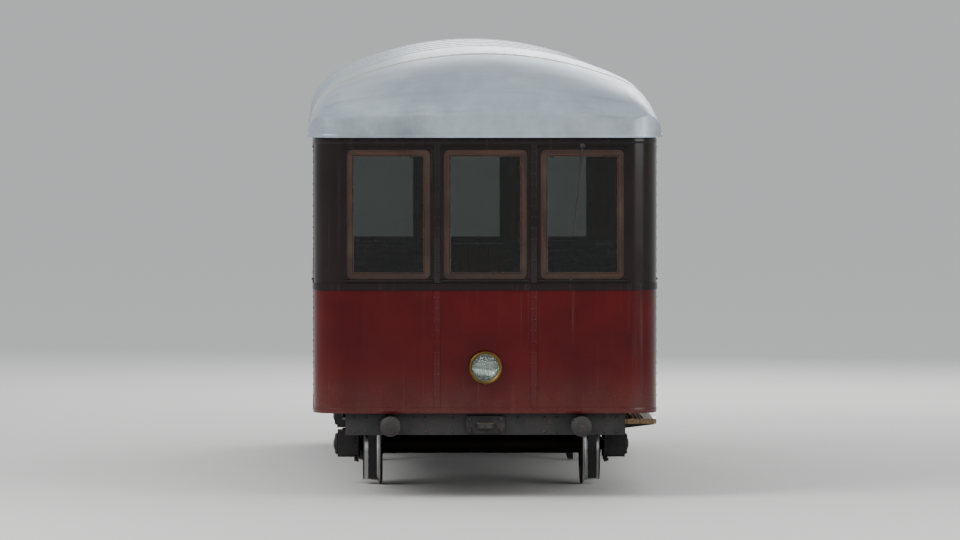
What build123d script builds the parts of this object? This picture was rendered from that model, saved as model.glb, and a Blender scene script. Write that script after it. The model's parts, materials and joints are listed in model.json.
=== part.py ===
from build123d import *
import os
from math import asin, cos, degrees, radians, sin, sqrt

os.makedirs("parts", exist_ok=True)

# A funicular car: four wheels, a hollow cabin and a domed roof.
# Millimetres. X to the right, +Y uphill, Z up from the wheel flanges, the origin at the middle.

# Track and running gear
gauge = 1435
rail_head_width = 68
flange_depth = 28
gauge_less_wheel_backs = 75
tread_radius = 250
tyre_width = 135
wheelbase = 3600
axle_radius = 65
wheel_seat_radius = 62
journal_radius = 45
journal_reach = 290
hub_radius = 95

# Heights above the rail
skirt_height = 550
waist_height = 1400
eave_height = 2400

# Cabin
body_width = 2300
wall = 50
corner_radius = 200
corner_return = 245
bay_pitch = 930
bays = 7
window_width = 780
window_sill_above_waist = 50
window_head_below_eave = 80
window_corner = 40
moulding_height = 44
moulding_depth = 10
end_window_width = 560
end_window_post = 90
floor_thickness = 30
floor_above_skirt = 112
sash_depth = 30
sash_face = 38
sash_inset = 8
transom_share = 0.72
glass_thickness = 6
door_bays = (-2, 2)

# Roof
eave_overhang = 40
roof_rise = 595
roof_thickness = 30
dome_length = 1250
corner_share = 0.72
dome_angles = range(0, 76, 15)

# Sliding doors
door_thickness = 34
door_lap = 40
door_gap = 8
door_stile = 90
door_frame_margin = 60
door_panel_recess = 8
door_head_lap = 22
door_rail_height = 40
door_rail_thickness = 8
roller_radius = 18
roller_width = 20

# Fits
fit = 0.3
bearing_gap = 0.6

# Underframe
solebar_from_tyre = 42
solebar_depth = 150
solebar_flange = 78
plate = 10
headstock_lap = 5
headstock_depth = 230
headstock_flange = 70
bearer_width = 60
bearer_depth = 100
outrigger_depth = 50
centre_sill_x = 160
brake_bearer_back = 405

# Worked out from the sizes above
rail_top = flange_depth
flange_radius = tread_radius + flange_depth
axle_z = flange_radius
tyre_inner_face = (gauge - gauge_less_wheel_backs) / 2
journal_end = tyre_inner_face + journal_reach
solebar_inner = tyre_inner_face + tyre_width + solebar_from_tyre
skirt_z = rail_top + skirt_height
waist_z = rail_top + waist_height
eave_z = rail_top + eave_height
floor_top = skirt_z + floor_above_skirt
frame_top = floor_top - floor_thickness
half_width = body_width / 2
inner_half = half_width - wall
side_length = bays * bay_pitch
body_length = side_length + 2 * corner_return
half_length = body_length / 2
inner_length = half_length - wall
sill_z = waist_z + window_sill_above_waist
window_top = eave_z - window_head_below_eave
window_height = window_top - sill_z
window_mid = (sill_z + window_top) / 2
solebar_outer = solebar_inner + solebar_flange
solebar_bottom = frame_top - solebar_depth
headstock_width = 2 * (solebar_outer + headstock_lap)
bearer_bottom = frame_top - bearer_depth
rail_centre = (gauge + rail_head_width) / 2
bay_numbers = range(-(bays // 2), bays // 2 + 1)
middle_bearer = bay_pitch / 2
brake_bearer = wheelbase / 2 - brake_bearer_back
outer_bearer = (bays / 2 - 1) * bay_pitch
bearer_lines = [side * y for side in (-1, 1) for y in (middle_bearer, brake_bearer, outer_bearer)]
door_width = window_width + 2 * door_lap
door_outer = inner_half - door_gap
door_inner = door_outer - door_thickness
door_top = window_top + door_head_lap
straight_half = half_length + eave_overhang - dome_length * sin(radians(dome_angles[-1]))


def cross_plane(y):
    """A plane across the car at y, drawn with X to the right and Z up."""
    return Plane(origin=(0, y, 0), x_dir=(1, 0, 0), z_dir=(0, -1, 0))


def arch_radii(half, rise):
    """Corner radius and crown radius of the roof's arch."""
    corner = corner_share * rise
    crown = ((half - corner) ** 2 + rise**2 - corner**2) / (2 * (rise - corner))
    return corner, crown


def arch_height(x, half, rise):
    """Height of the arch over its springing, at x from the middle."""
    corner, crown = arch_radii(half, rise)
    return sqrt(crown**2 - x**2) - (crown - rise)


def arch_section(y, half, rise):
    """One arched section of the roof, closed along the eave line."""
    corner, crown = arch_radii(half, rise)
    drop = crown - rise
    lean = asin((half - corner) / (crown - corner))
    joint_x = crown * sin(lean)
    joint_z = crown * cos(lean) - drop
    half_lean = radians(90 - degrees(lean)) / 2
    bend_x = half - corner + corner * cos(half_lean)
    bend_z = corner * sin(half_lean)
    with BuildSketch(cross_plane(y)) as section:
        with BuildLine():
            Line((-half, eave_z), (half, eave_z))
            ThreePointArc((half, eave_z), (bend_x, eave_z + bend_z), (joint_x, eave_z + joint_z))
            ThreePointArc((joint_x, eave_z + joint_z), (0, eave_z + rise), (-joint_x, eave_z + joint_z))
            ThreePointArc((-joint_x, eave_z + joint_z), (-bend_x, eave_z + bend_z), (-half, eave_z))
        make_face()
    return section.sketch


def dome(side, half, length, rise, corner, boarded):
    """One domed end, lofted through arches that sink along an ellipse and rounded in plan."""
    reach = (length - straight_half) / sin(radians(dome_angles[-1]))
    with BuildPart() as end_dome:
        sections = []
        for angle in dome_angles:
            y = side * (straight_half + reach * sin(radians(angle)))
            sections.append(arch_section(y, half, rise * cos(radians(angle))).face())
        loft(Sketch() + sections, ruled=boarded)
        with BuildSketch(Plane.XY.offset(eave_z - roof_thickness)):
            RectangleRounded(2 * half, 2 * length, corner)
        extrude(amount=rise + 2 * roof_thickness, mode=Mode.INTERSECT)
    return end_dome.part


def roof_mass(half, length, rise, corner, boarded):
    """A solid arch between its two domes, smooth or boarded straight from hoop to hoop."""
    domes = [dome(side, half, length, rise, corner, boarded) for side in (-1, 1)]
    middle_arch = arch_section(straight_half, half, rise)
    with BuildPart() as mass:
        extrude(middle_arch.face(), amount=2 * straight_half, dir=(0, -1, 0))
        add(domes)
    return mass.part


# Underframe: two channel solebars, two headstocks, six bearers with outriggers and two centre sills
solebar_x = solebar_inner + solebar_flange / 2
solebar_mid_z = frame_top - solebar_depth / 2
headstock_y = inner_length - headstock_flange / 2
headstock_mid_z = frame_top - headstock_depth / 2
with BuildPart() as underframe:
    for side in (-1, 1):
        with BuildSketch(cross_plane(-inner_length)):
            with Locations((side * solebar_x, solebar_mid_z)):
                Rectangle(solebar_flange, solebar_depth)
            with Locations((side * (solebar_x + plate), solebar_mid_z)):
                Rectangle(solebar_flange, solebar_depth - 2 * plate, mode=Mode.SUBTRACT)
        extrude(amount=-2 * inner_length)
        with BuildSketch(Plane.YZ.offset(-headstock_width / 2)):
            with Locations((side * headstock_y, headstock_mid_z)):
                Rectangle(headstock_flange, headstock_depth)
            with Locations((side * (headstock_y - plate), headstock_mid_z)):
                Rectangle(headstock_flange, headstock_depth - 2 * plate, mode=Mode.SUBTRACT)
        extrude(amount=headstock_width)
        with BuildSketch(Plane.XY.offset(bearer_bottom)):
            with Locations((side * centre_sill_x, 0)):
                Rectangle(bearer_width, 2 * (inner_length - plate))
        extrude(amount=bearer_depth)
    for y in bearer_lines:
        with BuildSketch(cross_plane(y + bearer_width / 2)):
            with BuildLine():
                Polyline(
                    (-inner_half, frame_top),
                    (inner_half, frame_top),
                    (inner_half, frame_top - outrigger_depth),
                    (solebar_outer, bearer_bottom),
                    (-solebar_outer, bearer_bottom),
                    (-inner_half, frame_top - outrigger_depth),
                    close=True,
                )
            make_face()
        extrude(amount=bearer_width)
underframe.part.label = "underframe"
export_step(underframe.part, "parts/underframe.step")

# Floor of boards, cut to the inside of the walls
with BuildPart() as floor:
    with BuildSketch(Plane.XY.offset(frame_top)):
        RectangleRounded(2 * inner_half, 2 * inner_length, corner_radius - wall)
    extrude(amount=floor_thickness)
floor.part.label = "floor"
export_step(floor.part, "parts/floor.step")

# Side walls, with a window in each bay, or a doorway, and a moulding along the waist
moulding_break = 80
for label, side in (("left", -1), ("right", 1)):
    with BuildPart() as side_wall:
        with BuildSketch(Plane.YZ.offset(side * half_width)):
            with Locations((0, (skirt_z + eave_z) / 2)):
                Rectangle(side_length, eave_z - skirt_z)
            for bay in bay_numbers:
                is_door = side > 0 and bay in door_bays
                if is_door:
                    with Locations((bay * bay_pitch, (floor_top + window_top) / 2)):
                        Rectangle(window_width, window_top - floor_top, mode=Mode.SUBTRACT)
                else:
                    with Locations((bay * bay_pitch, window_mid)):
                        RectangleRounded(window_width, window_height, window_corner, mode=Mode.SUBTRACT)
        extrude(amount=-side * wall)
        with BuildSketch(Plane.YZ.offset(side * half_width)):
            with Locations((0, waist_z)):
                Rectangle(side_length, moulding_height)
            if side > 0:
                with Locations(*[(bay * bay_pitch, waist_z) for bay in door_bays]):
                    Rectangle(bay_pitch + moulding_break, moulding_height, mode=Mode.SUBTRACT)
        extrude(amount=side * moulding_depth)
    side_wall.part.label = f"side_wall_{label}"
    export_step(side_wall.part, f"parts/side_wall_{label}.step")

# End walls with rounded corners, three windows and the waist moulding
end_window_pitch = end_window_width + end_window_post
end_middle = half_length - corner_return / 2
for label, side in (("downhill", -1), ("uphill", 1)):
    with BuildPart() as end_wall:
        for bottom, height, proud in (
            (skirt_z, eave_z - skirt_z, 0),
            (waist_z - moulding_height / 2, moulding_height, moulding_depth),
        ):
            with BuildSketch(Plane.XY.offset(bottom)):
                RectangleRounded(body_width + 2 * proud, body_length + 2 * proud, corner_radius + proud)
                RectangleRounded(2 * inner_half, 2 * inner_length, corner_radius - wall, mode=Mode.SUBTRACT)
                with Locations((0, side * (end_middle + proud / 2))):
                    Rectangle(body_width + 2 * proud, corner_return + proud, mode=Mode.INTERSECT)
            extrude(amount=height)
        with BuildSketch(cross_plane(side * half_length)):
            with Locations(*[(i * end_window_pitch, window_mid) for i in (-1, 0, 1)]):
                RectangleRounded(end_window_width, window_height, window_corner)
        extrude(amount=side * wall, mode=Mode.SUBTRACT)
    end_wall.part.label = f"end_wall_{label}"
    export_step(end_wall.part, f"parts/end_wall_{label}.step")

# Roof shell, flush with the walls inside and overhanging them outside
roof_half = half_width + eave_overhang
roof_length = half_length + eave_overhang
roof_outer = roof_mass(roof_half, roof_length, roof_rise, corner_radius + eave_overhang, False)
roof_inner = roof_mass(inner_half, inner_length, roof_rise - roof_thickness, corner_radius - wall, True)
with BuildPart() as roof:
    add(roof_outer)
    add(roof_inner, mode=Mode.SUBTRACT)
roof.part.label = "roof"
export_step(roof.part, "parts/roof.step")

# Window sashes and their panes, wall by wall
left_middles = [bay * bay_pitch for bay in bay_numbers]
right_middles = [bay * bay_pitch for bay in bay_numbers if bay not in door_bays]
end_middles = [i * end_window_pitch for i in (-1, 0, 1)]
windows = [
    # wall, outer face of the sash, way in, middles of the windows, width, has a transom
    ("left", Plane.YZ.offset(-half_width + sash_inset), 1, left_middles, window_width, True),
    ("right", Plane.YZ.offset(half_width - sash_inset), -1, right_middles, window_width, True),
    ("downhill", cross_plane(-half_length + sash_inset), -1, end_middles, end_window_width, False),
    ("uphill", cross_plane(half_length - sash_inset), 1, end_middles, end_window_width, False),
]
pane_setback = (sash_depth - glass_thickness) / 2
for label, plane, inward, middles, width, has_transom in windows:
    pane_width = width - 2 * fit - 2 * sash_face
    pane_bottom = sill_z + fit + sash_face
    pane_top = window_top - fit - sash_face
    split_z = pane_bottom + transom_share * (pane_top - pane_bottom)
    if has_transom:
        panes = [(pane_bottom, split_z - sash_face / 2), (split_z + sash_face / 2, pane_top)]
    else:
        panes = [(pane_bottom, pane_top)]
    with BuildPart() as sashes:
        with BuildSketch(plane):
            for middle in middles:
                with Locations((middle, window_mid)):
                    RectangleRounded(width - 2 * fit, window_height - 2 * fit, window_corner - fit)
                for low, high in panes:
                    with Locations((middle, (low + high) / 2)):
                        Rectangle(pane_width, high - low, mode=Mode.SUBTRACT)
        extrude(amount=inward * sash_depth)
    sashes.part.label = f"sashes_{label}"
    export_step(sashes.part, f"parts/sashes_{label}.step")
    with BuildPart() as glass:
        with BuildSketch(plane.offset(inward * pane_setback)):
            for middle in middles:
                for low, high in panes:
                    with Locations((middle, (low + high) / 2)):
                        Rectangle(pane_width - 2 * fit, high - low - 2 * fit)
        extrude(amount=inward * glass_thickness)
    glass.part.label = f"glass_{label}"
    export_step(glass.part, f"parts/glass_{label}.step")

# Sliding doors on the right-hand side, hung from rollers inside the wall
door_bottom = floor_top + door_gap
door_pane_width = window_width - 2 * door_stile
door_pane_height = window_height - 2 * door_frame_margin
door_panel_low = door_bottom + door_stile
door_panel_high = sill_z + door_frame_margin - door_stile
rail_x = (door_inner + door_outer) / 2
door_rail_bottom = door_top + door_gap
door_rail_top = door_rail_bottom + door_rail_height
hanger_spacing = 560
hanger_width = 40
hanger_lap = 60
for label, bay in (("downhill", door_bays[0]), ("uphill", door_bays[1])):
    middle = bay * bay_pitch
    with BuildPart() as door:
        with BuildSketch(Plane.YZ.offset(door_inner)):
            with Locations((middle, (door_bottom + door_top) / 2)):
                Rectangle(door_width, door_top - door_bottom)
            with Locations((middle, window_mid)):
                RectangleRounded(door_pane_width, door_pane_height, window_corner, mode=Mode.SUBTRACT)
        extrude(amount=door_thickness)
        for face_x, inward in ((door_inner, 1), (door_outer, -1)):
            with BuildSketch(Plane.YZ.offset(face_x)):
                with Locations((middle, (door_panel_low + door_panel_high) / 2)):
                    Rectangle(door_pane_width, door_panel_high - door_panel_low)
            extrude(amount=inward * door_panel_recess, mode=Mode.SUBTRACT)
        for step in (-1, 1):
            hanger_y = middle + step * hanger_spacing / 2
            hanger_top = door_rail_top + 2 * roller_radius
            with BuildSketch(Plane.YZ.offset(door_inner - plate)):
                with Locations((hanger_y, (door_top - hanger_lap + hanger_top) / 2)):
                    Rectangle(hanger_width, hanger_top - door_top + hanger_lap)
            extrude(amount=plate)
            with BuildSketch(Plane.YZ.offset(door_inner - plate)):
                with Locations((hanger_y, door_rail_top + fit + roller_radius)):
                    Circle(roller_radius / 3)
            extrude(amount=rail_x - door_inner + plate)
            with BuildSketch(Plane.YZ.offset(rail_x - roller_width / 2)):
                with Locations((hanger_y, door_rail_top + fit + roller_radius)):
                    Circle(roller_radius)
            extrude(amount=roller_width)
    door.part.label = f"door_{label}"
    export_step(door.part, f"parts/door_{label}.step")
    with BuildPart() as door_glass:
        with BuildSketch(Plane.YZ.offset(door_inner + (door_thickness - glass_thickness) / 2)):
            with Locations((middle, window_mid)):
                RectangleRounded(door_pane_width - 2 * fit, door_pane_height - 2 * fit, window_corner - fit)
        extrude(amount=glass_thickness)
    door_glass.part.label = f"door_glass_{label}"
    export_step(door_glass.part, f"parts/door_glass_{label}.step")

# Rails that the doors hang from, with their blocks on the wall, and guide strips on the floor
door_travel = window_width
rail_low = hanger_spacing / 2 + hanger_lap
rail_block_width = 50
rail_block_inset = 40
guide_strip_height = 20
with BuildPart() as door_rails:
    for bay in door_bays:
        side = 1 if bay > 0 else -1
        middle = bay * bay_pitch
        ends = sorted((middle + side * rail_low, middle - side * (door_travel + rail_low)))
        rail_mid = (ends[0] + ends[1]) / 2
        with BuildSketch(Plane.YZ.offset(rail_x - door_rail_thickness / 2)):
            with Locations((rail_mid, (door_rail_bottom + door_rail_top) / 2)):
                Rectangle(ends[1] - ends[0], door_rail_height)
        extrude(amount=door_rail_thickness)
        with BuildSketch(Plane.YZ.offset(rail_x + door_rail_thickness / 2)):
            for spot in (ends[0] + rail_block_inset, rail_mid, ends[1] - rail_block_inset):
                with Locations((spot, (door_rail_bottom + door_rail_top) / 2)):
                    Rectangle(rail_block_width, door_rail_height - 2 * plate)
        extrude(amount=inner_half - rail_x - door_rail_thickness / 2)
        slot_low = min(middle, middle - side * door_travel) - door_width / 2
        slot_high = max(middle, middle - side * door_travel) + door_width / 2
        with BuildSketch(Plane.XY.offset(floor_top)):
            with Locations((door_inner - door_gap, (slot_low + slot_high) / 2)):
                Rectangle(plate, slot_high - slot_low)
        extrude(amount=guide_strip_height)
door_rails.part.label = "door_rails"
export_step(door_rails.part, "parts/door_rails.step")

# Wheelsets: an axle with its two flanged wheels, the flange on the inner side
wheel_profile = [
    # x from the tyre's inner face, radius
    (10, wheel_seat_radius + fit),
    (142, wheel_seat_radius + fit),
    (142, hub_radius - 4),
    (110, hub_radius + 3),
    (95, hub_radius + 15),
    (85, 190),
    (120, 203),
    (tyre_width, 207),
    (tyre_width, tread_radius - 3),
    (40, tread_radius + 1.5),
    (30, tread_radius + 8),
    (22, tread_radius + 22),
    (14, flange_radius),
    (8, flange_radius - 2),
    (2, tread_radius + 12),
    (0, tread_radius),
    (0, 207),
    (15, 203),
    (58, 190),
    (68, hub_radius + 15),
    (55, hub_radius + 3),
    (10, hub_radius - 4),
]
seat_start = 6
seat_end = 146
web_hole_radius = 28
web_hole_circle = 150
for label, side in (("downhill", -1), ("uphill", 1)):
    axle_y = side * wheelbase / 2
    centre_line = Axis((0, axle_y, axle_z), (1, 0, 0))
    with BuildPart() as axle:
        with BuildSketch(Plane(origin=(0, axle_y, axle_z), x_dir=(1, 0, 0), z_dir=(0, -1, 0))):
            with BuildLine():
                Polyline(
                    (-journal_end, 0),
                    (-journal_end, journal_radius),
                    (-tyre_inner_face - seat_end, journal_radius),
                    (-tyre_inner_face - seat_end, wheel_seat_radius),
                    (-tyre_inner_face - seat_start, wheel_seat_radius),
                    (-tyre_inner_face - seat_start, axle_radius),
                    (tyre_inner_face + seat_start, axle_radius),
                    (tyre_inner_face + seat_start, wheel_seat_radius),
                    (tyre_inner_face + seat_end, wheel_seat_radius),
                    (tyre_inner_face + seat_end, journal_radius),
                    (journal_end, journal_radius),
                    (journal_end, 0),
                    close=True,
                )
            make_face()
        revolve(axis=centre_line)
    axle.part.label = f"axle_{label}"
    export_step(axle.part, f"parts/axle_{label}.step")
    with BuildPart() as wheels:
        for hand in (-1, 1):
            with BuildSketch(Plane(origin=(0, axle_y, axle_z), x_dir=(1, 0, 0), z_dir=(0, -1, 0))):
                with BuildLine():
                    Polyline(*[(hand * (tyre_inner_face + x), r) for x, r in wheel_profile], close=True)
                make_face()
            revolve(axis=centre_line)
        with BuildSketch(Plane(origin=(-journal_end, axle_y, axle_z), x_dir=(0, 1, 0), z_dir=(1, 0, 0))):
            with PolarLocations(web_hole_circle, 6):
                Circle(web_hole_radius)
        extrude(amount=2 * journal_end, mode=Mode.SUBTRACT)
    wheels.part.label = f"wheels_{label}"
    export_step(wheels.part, f"parts/wheels_{label}.step")

# Axle boxes, springs, spring shoes and horn guides: one set at each journal
box_back = journal_end - 135
box_front = journal_end + 20
box_half = 100
box_low = 88
box_high = 95
box_corner = 20
journal_end_gap = 5
guide_thickness = 12
guide_inner = solebar_inner - guide_thickness
guide_slot = box_half - 18
guide_wing = 305
guide_waist = 185
guide_foot = 145
groove_gap = 2
spring_width = 70
leaf_thickness = 10
leaf_lengths = (880, 740, 600, 460, 320)
spring_sag = 42
main_leaf_z = 438
buckle_half = 42
buckle_wall = 8
shoe_half = 48
shoe_inset = 10
shoe_depth = 24
shoe_pocket = 6
box_top = axle_z + box_high
guide_outline = [
    # from the axle along the car, height
    (-guide_wing, bearer_bottom - plate),
    (guide_wing, bearer_bottom - plate),
    (guide_wing, solebar_bottom + plate),
    (guide_waist, axle_z + 60),
    (guide_foot, axle_z - box_low - 30),
    (-guide_foot, axle_z - box_low - 30),
    (-guide_waist, axle_z + 60),
    (-guide_wing, solebar_bottom + plate),
]
slot_bottom = axle_z - box_low - 40
slot_top = solebar_bottom - 30
spring_radius = ((leaf_lengths[0] / 2) ** 2 + spring_sag**2) / (2 * spring_sag)
corners = [(x, y) for x in (-1, 1) for y in (-1, 1)]

with BuildPart() as axle_boxes:
    for hand, side in corners:
        axle_y = side * wheelbase / 2
        with BuildSketch(Plane.YZ.offset(hand * box_back)):
            with Locations((axle_y, axle_z + (box_high - box_low) / 2)):
                RectangleRounded(2 * box_half, box_low + box_high, box_corner)
        extrude(amount=hand * (box_front - box_back))
        with BuildSketch(Plane.XY.offset(axle_z - box_low)):
            for edge in (-1, 1):
                with Locations((hand * (guide_inner + guide_thickness / 2), axle_y + edge * box_half)):
                    Rectangle(guide_thickness + 2 * groove_gap, 2 * (box_half - guide_slot + groove_gap))
        extrude(amount=box_low + box_high, mode=Mode.SUBTRACT)
        with BuildSketch(Plane.YZ.offset(hand * box_back)):
            with Locations((axle_y, axle_z)):
                Circle(journal_radius + bearing_gap)
        extrude(amount=hand * (journal_end + journal_end_gap - box_back), mode=Mode.SUBTRACT)
axle_boxes.part.label = "axle_boxes"
export_step(axle_boxes.part, "parts/axle_boxes.step")

with BuildPart() as horn_guides:
    for hand, side in corners:
        axle_y = side * wheelbase / 2
        with BuildSketch(Plane.YZ.offset(hand * guide_inner)):
            with BuildLine():
                Polyline(*[(axle_y + y, z) for y, z in guide_outline], close=True)
            make_face()
            with Locations((axle_y, (slot_bottom + slot_top) / 2)):
                Rectangle(2 * guide_slot, slot_top - slot_bottom, mode=Mode.SUBTRACT)
        extrude(amount=hand * guide_thickness)
horn_guides.part.label = "horn_guides"
export_step(horn_guides.part, "parts/horn_guides.step")

with BuildPart() as leaf_springs:
    for hand, side in corners:
        axle_y = side * wheelbase / 2
        arc_z = main_leaf_z + spring_radius
        with BuildSketch(Plane.YZ.offset(hand * solebar_x - spring_width / 2)):
            for i, length in enumerate(leaf_lengths):
                upper = spring_radius + i * leaf_thickness
                lower = upper + leaf_thickness
                reach = asin(length / 2 / upper)
                with BuildLine():
                    ThreePointArc(
                        (axle_y - upper * sin(reach), arc_z - upper * cos(reach)),
                        (axle_y, arc_z - upper),
                        (axle_y + upper * sin(reach), arc_z - upper * cos(reach)),
                    )
                    Line(
                        (axle_y + upper * sin(reach), arc_z - upper * cos(reach)),
                        (axle_y + lower * sin(reach), arc_z - lower * cos(reach)),
                    )
                    ThreePointArc(
                        (axle_y + lower * sin(reach), arc_z - lower * cos(reach)),
                        (axle_y, arc_z - lower),
                        (axle_y - lower * sin(reach), arc_z - lower * cos(reach)),
                    )
                    Line(
                        (axle_y - lower * sin(reach), arc_z - lower * cos(reach)),
                        (axle_y - upper * sin(reach), arc_z - upper * cos(reach)),
                    )
                make_face()
        extrude(amount=spring_width)
        with BuildSketch(Plane.XY.offset(box_top)):
            with Locations((hand * solebar_x, axle_y)):
                Rectangle(spring_width + 2 * buckle_wall, 2 * buckle_half)
        extrude(amount=main_leaf_z + buckle_wall - box_top)
leaf_springs.part.label = "leaf_springs"
export_step(leaf_springs.part, "parts/leaf_springs.step")

leaf_end_z = main_leaf_z + spring_sag
with BuildPart() as spring_shoes:
    for hand, side in corners:
        for end in (-1, 1):
            shoe_y = side * wheelbase / 2 + end * (leaf_lengths[0] / 2 - shoe_inset)
            with BuildSketch(Plane.XY.offset(leaf_end_z - shoe_depth)):
                with Locations((hand * solebar_x, shoe_y)):
                    Rectangle(solebar_flange, 2 * shoe_half)
            extrude(amount=solebar_bottom - leaf_end_z + shoe_depth)
            with BuildSketch(Plane.XY.offset(leaf_end_z - shoe_depth)):
                with Locations((hand * solebar_x, shoe_y)):
                    Rectangle(spring_width + 2 * fit, 2 * shoe_half)
            extrude(amount=shoe_depth + shoe_pocket, mode=Mode.SUBTRACT)
spring_shoes.part.label = "spring_shoes"
export_step(spring_shoes.part, "parts/spring_shoes.step")

# Wheel brakes: a shoe behind each wheel, on hangers that a beam joins across the car
shoe_gap = 6
brake_shoe_back = 301
brake_shoe_front = 240
brake_shoe_high = 90
brake_shoe_width = 90
shoe_x = tyre_inner_face + 80
hanger_bar = 20
hanger_eye = 40
hanger_lean = 30
brake_beam_radius = 22
with BuildPart() as brake_shoes:
    for hand, side in corners:
        axle_y = side * wheelbase / 2
        back_y = axle_y - side * brake_shoe_back
        front_y = axle_y - side * brake_shoe_front
        with BuildSketch(Plane.YZ.offset(hand * shoe_x - brake_shoe_width / 2)):
            with Locations(((back_y + front_y) / 2, axle_z)):
                Rectangle(brake_shoe_back - brake_shoe_front, 2 * brake_shoe_high)
            with Locations((axle_y, axle_z)):
                Circle(tread_radius + shoe_gap, mode=Mode.SUBTRACT)
        extrude(amount=brake_shoe_width)
brake_shoes.part.label = "brake_shoes"
export_step(brake_shoes.part, "parts/brake_shoes.step")

with BuildPart() as brake_hangers:
    for side in (-1, 1):
        axle_y = side * wheelbase / 2
        back_y = axle_y - side * brake_shoe_back
        for hand in (-1, 1):
            with BuildSketch(Plane.YZ.offset(hand * shoe_x - hanger_bar)):
                with BuildLine():
                    Polyline(
                        (back_y, axle_z - hanger_eye),
                        (back_y, axle_z + hanger_eye),
                        (side * (brake_bearer + bearer_width / 2), bearer_bottom),
                        (side * (brake_bearer - bearer_width / 2), bearer_bottom),
                        (back_y - side * hanger_lean, axle_z - hanger_eye),
                        close=True,
                    )
                make_face()
            extrude(amount=2 * hanger_bar)
        with BuildSketch(Plane.YZ.offset(-shoe_x)):
            with Locations((back_y - side * (brake_beam_radius + fit), axle_z)):
                Circle(brake_beam_radius)
        extrude(amount=2 * shoe_x)
brake_hangers.part.label = "brake_hangers"
export_step(brake_hangers.part, "parts/brake_hangers.step")

# Rail brakes: tongs over each rail, on a beam between the solebars, open over the rail head
brake_beam_y = 900
brake_beam_width = 100
brake_beam_drop = 20
hanger_block = (50, 30)
cheek_height = 60
cheek_corner = 20
jaw_pivot = (77, 262)
jaw_thickness = 60
jaw_pin = 16
jaw_outline = [
    # from the rail's middle, height
    (40, 8),
    (40, 48),
    (60, 70),
    (60, 240),
    (76, 310),
    (96, 450),
    (124, 450),
    (110, 300),
    (96, 225),
    (96, 60),
    (80, 8),
]
beam_bottom = solebar_bottom - brake_beam_drop
with BuildPart() as rail_brake_frames:
    with BuildSketch(Plane.XY.offset(beam_bottom)):
        with Locations((0, brake_beam_y)):
            Rectangle(2 * (solebar_inner - fit), brake_beam_width)
    extrude(amount=bearer_bottom - beam_bottom)
    for hand in (-1, 1):
        with BuildSketch(Plane.XY.offset(jaw_pivot[1] - hanger_block[1])):
            with Locations((hand * rail_centre, brake_beam_y)):
                Rectangle(hanger_block[0], jaw_thickness + 2 * fit)
        extrude(amount=beam_bottom - jaw_pivot[1] + hanger_block[1])
        for face in (-1, 1):
            cheek_y = brake_beam_y + face * (jaw_thickness / 2 + plate / 2 + fit)
            with BuildSketch(cross_plane(cheek_y + plate / 2)):
                with Locations((hand * rail_centre, jaw_pivot[1])):
                    RectangleRounded(2 * jaw_pivot[0] + cheek_height, cheek_height, cheek_corner)
            extrude(amount=plate)
        with BuildSketch(cross_plane(brake_beam_y + jaw_thickness / 2 + plate)):
            with Locations(*[(hand * rail_centre + i * jaw_pivot[0], jaw_pivot[1]) for i in (-1, 1)]):
                Circle(jaw_pin)
        extrude(amount=jaw_thickness + 2 * plate)
rail_brake_frames.part.label = "rail_brake_frames"
export_step(rail_brake_frames.part, "parts/rail_brake_frames.step")

with BuildPart() as rail_brake_jaws:
    with BuildSketch(cross_plane(brake_beam_y + jaw_thickness / 2)):
        for hand in (-1, 1):
            for jaw in (-1, 1):
                with BuildLine():
                    Polyline(*[(hand * rail_centre + jaw * x, z) for x, z in jaw_outline], close=True)
                make_face()
                with Locations((hand * rail_centre + jaw * jaw_pivot[0], jaw_pivot[1])):
                    Circle(jaw_pin + fit, mode=Mode.SUBTRACT)
    extrude(amount=jaw_thickness)
rail_brake_jaws.part.label = "rail_brake_jaws"
export_step(rail_brake_jaws.part, "parts/rail_brake_jaws.step")

# Buffers at both ends
buffer_drop = 160
buffer_z = frame_top - buffer_drop
buffer_x = 640
buffer_reach = 270
buffer_head = 68
buffer_barrel = 52
buffer_rod = 32
buffer_profile = [
    # distance from the headstock, radius
    (0, 0),
    (0, buffer_head),
    (0.05 * buffer_reach, buffer_head),
    (0.09 * buffer_reach, buffer_barrel),
    (0.55 * buffer_reach, buffer_barrel - 6),
    (0.55 * buffer_reach, buffer_rod),
    (0.88 * buffer_reach, buffer_rod),
    (0.91 * buffer_reach, buffer_head),
    (0.955 * buffer_reach, buffer_head),
    (0.99 * buffer_reach, 0.6 * buffer_head),
    (buffer_reach, 0),
]
buffer_ends = inner_length + buffer_reach
with BuildPart() as buffers:
    for hand, side in corners:
        with BuildSketch(Plane(origin=(hand * buffer_x, 0, buffer_z), x_dir=(0, 1, 0), z_dir=(1, 0, 0))):
            with BuildLine():
                Polyline(*[(side * (inner_length + y), r) for y, r in buffer_profile], close=True)
            make_face()
        revolve(axis=Axis((hand * buffer_x, 0, buffer_z), (0, 1, 0)))
buffers.part.label = "buffers"
export_step(buffers.part, "parts/buffers.step")

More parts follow.
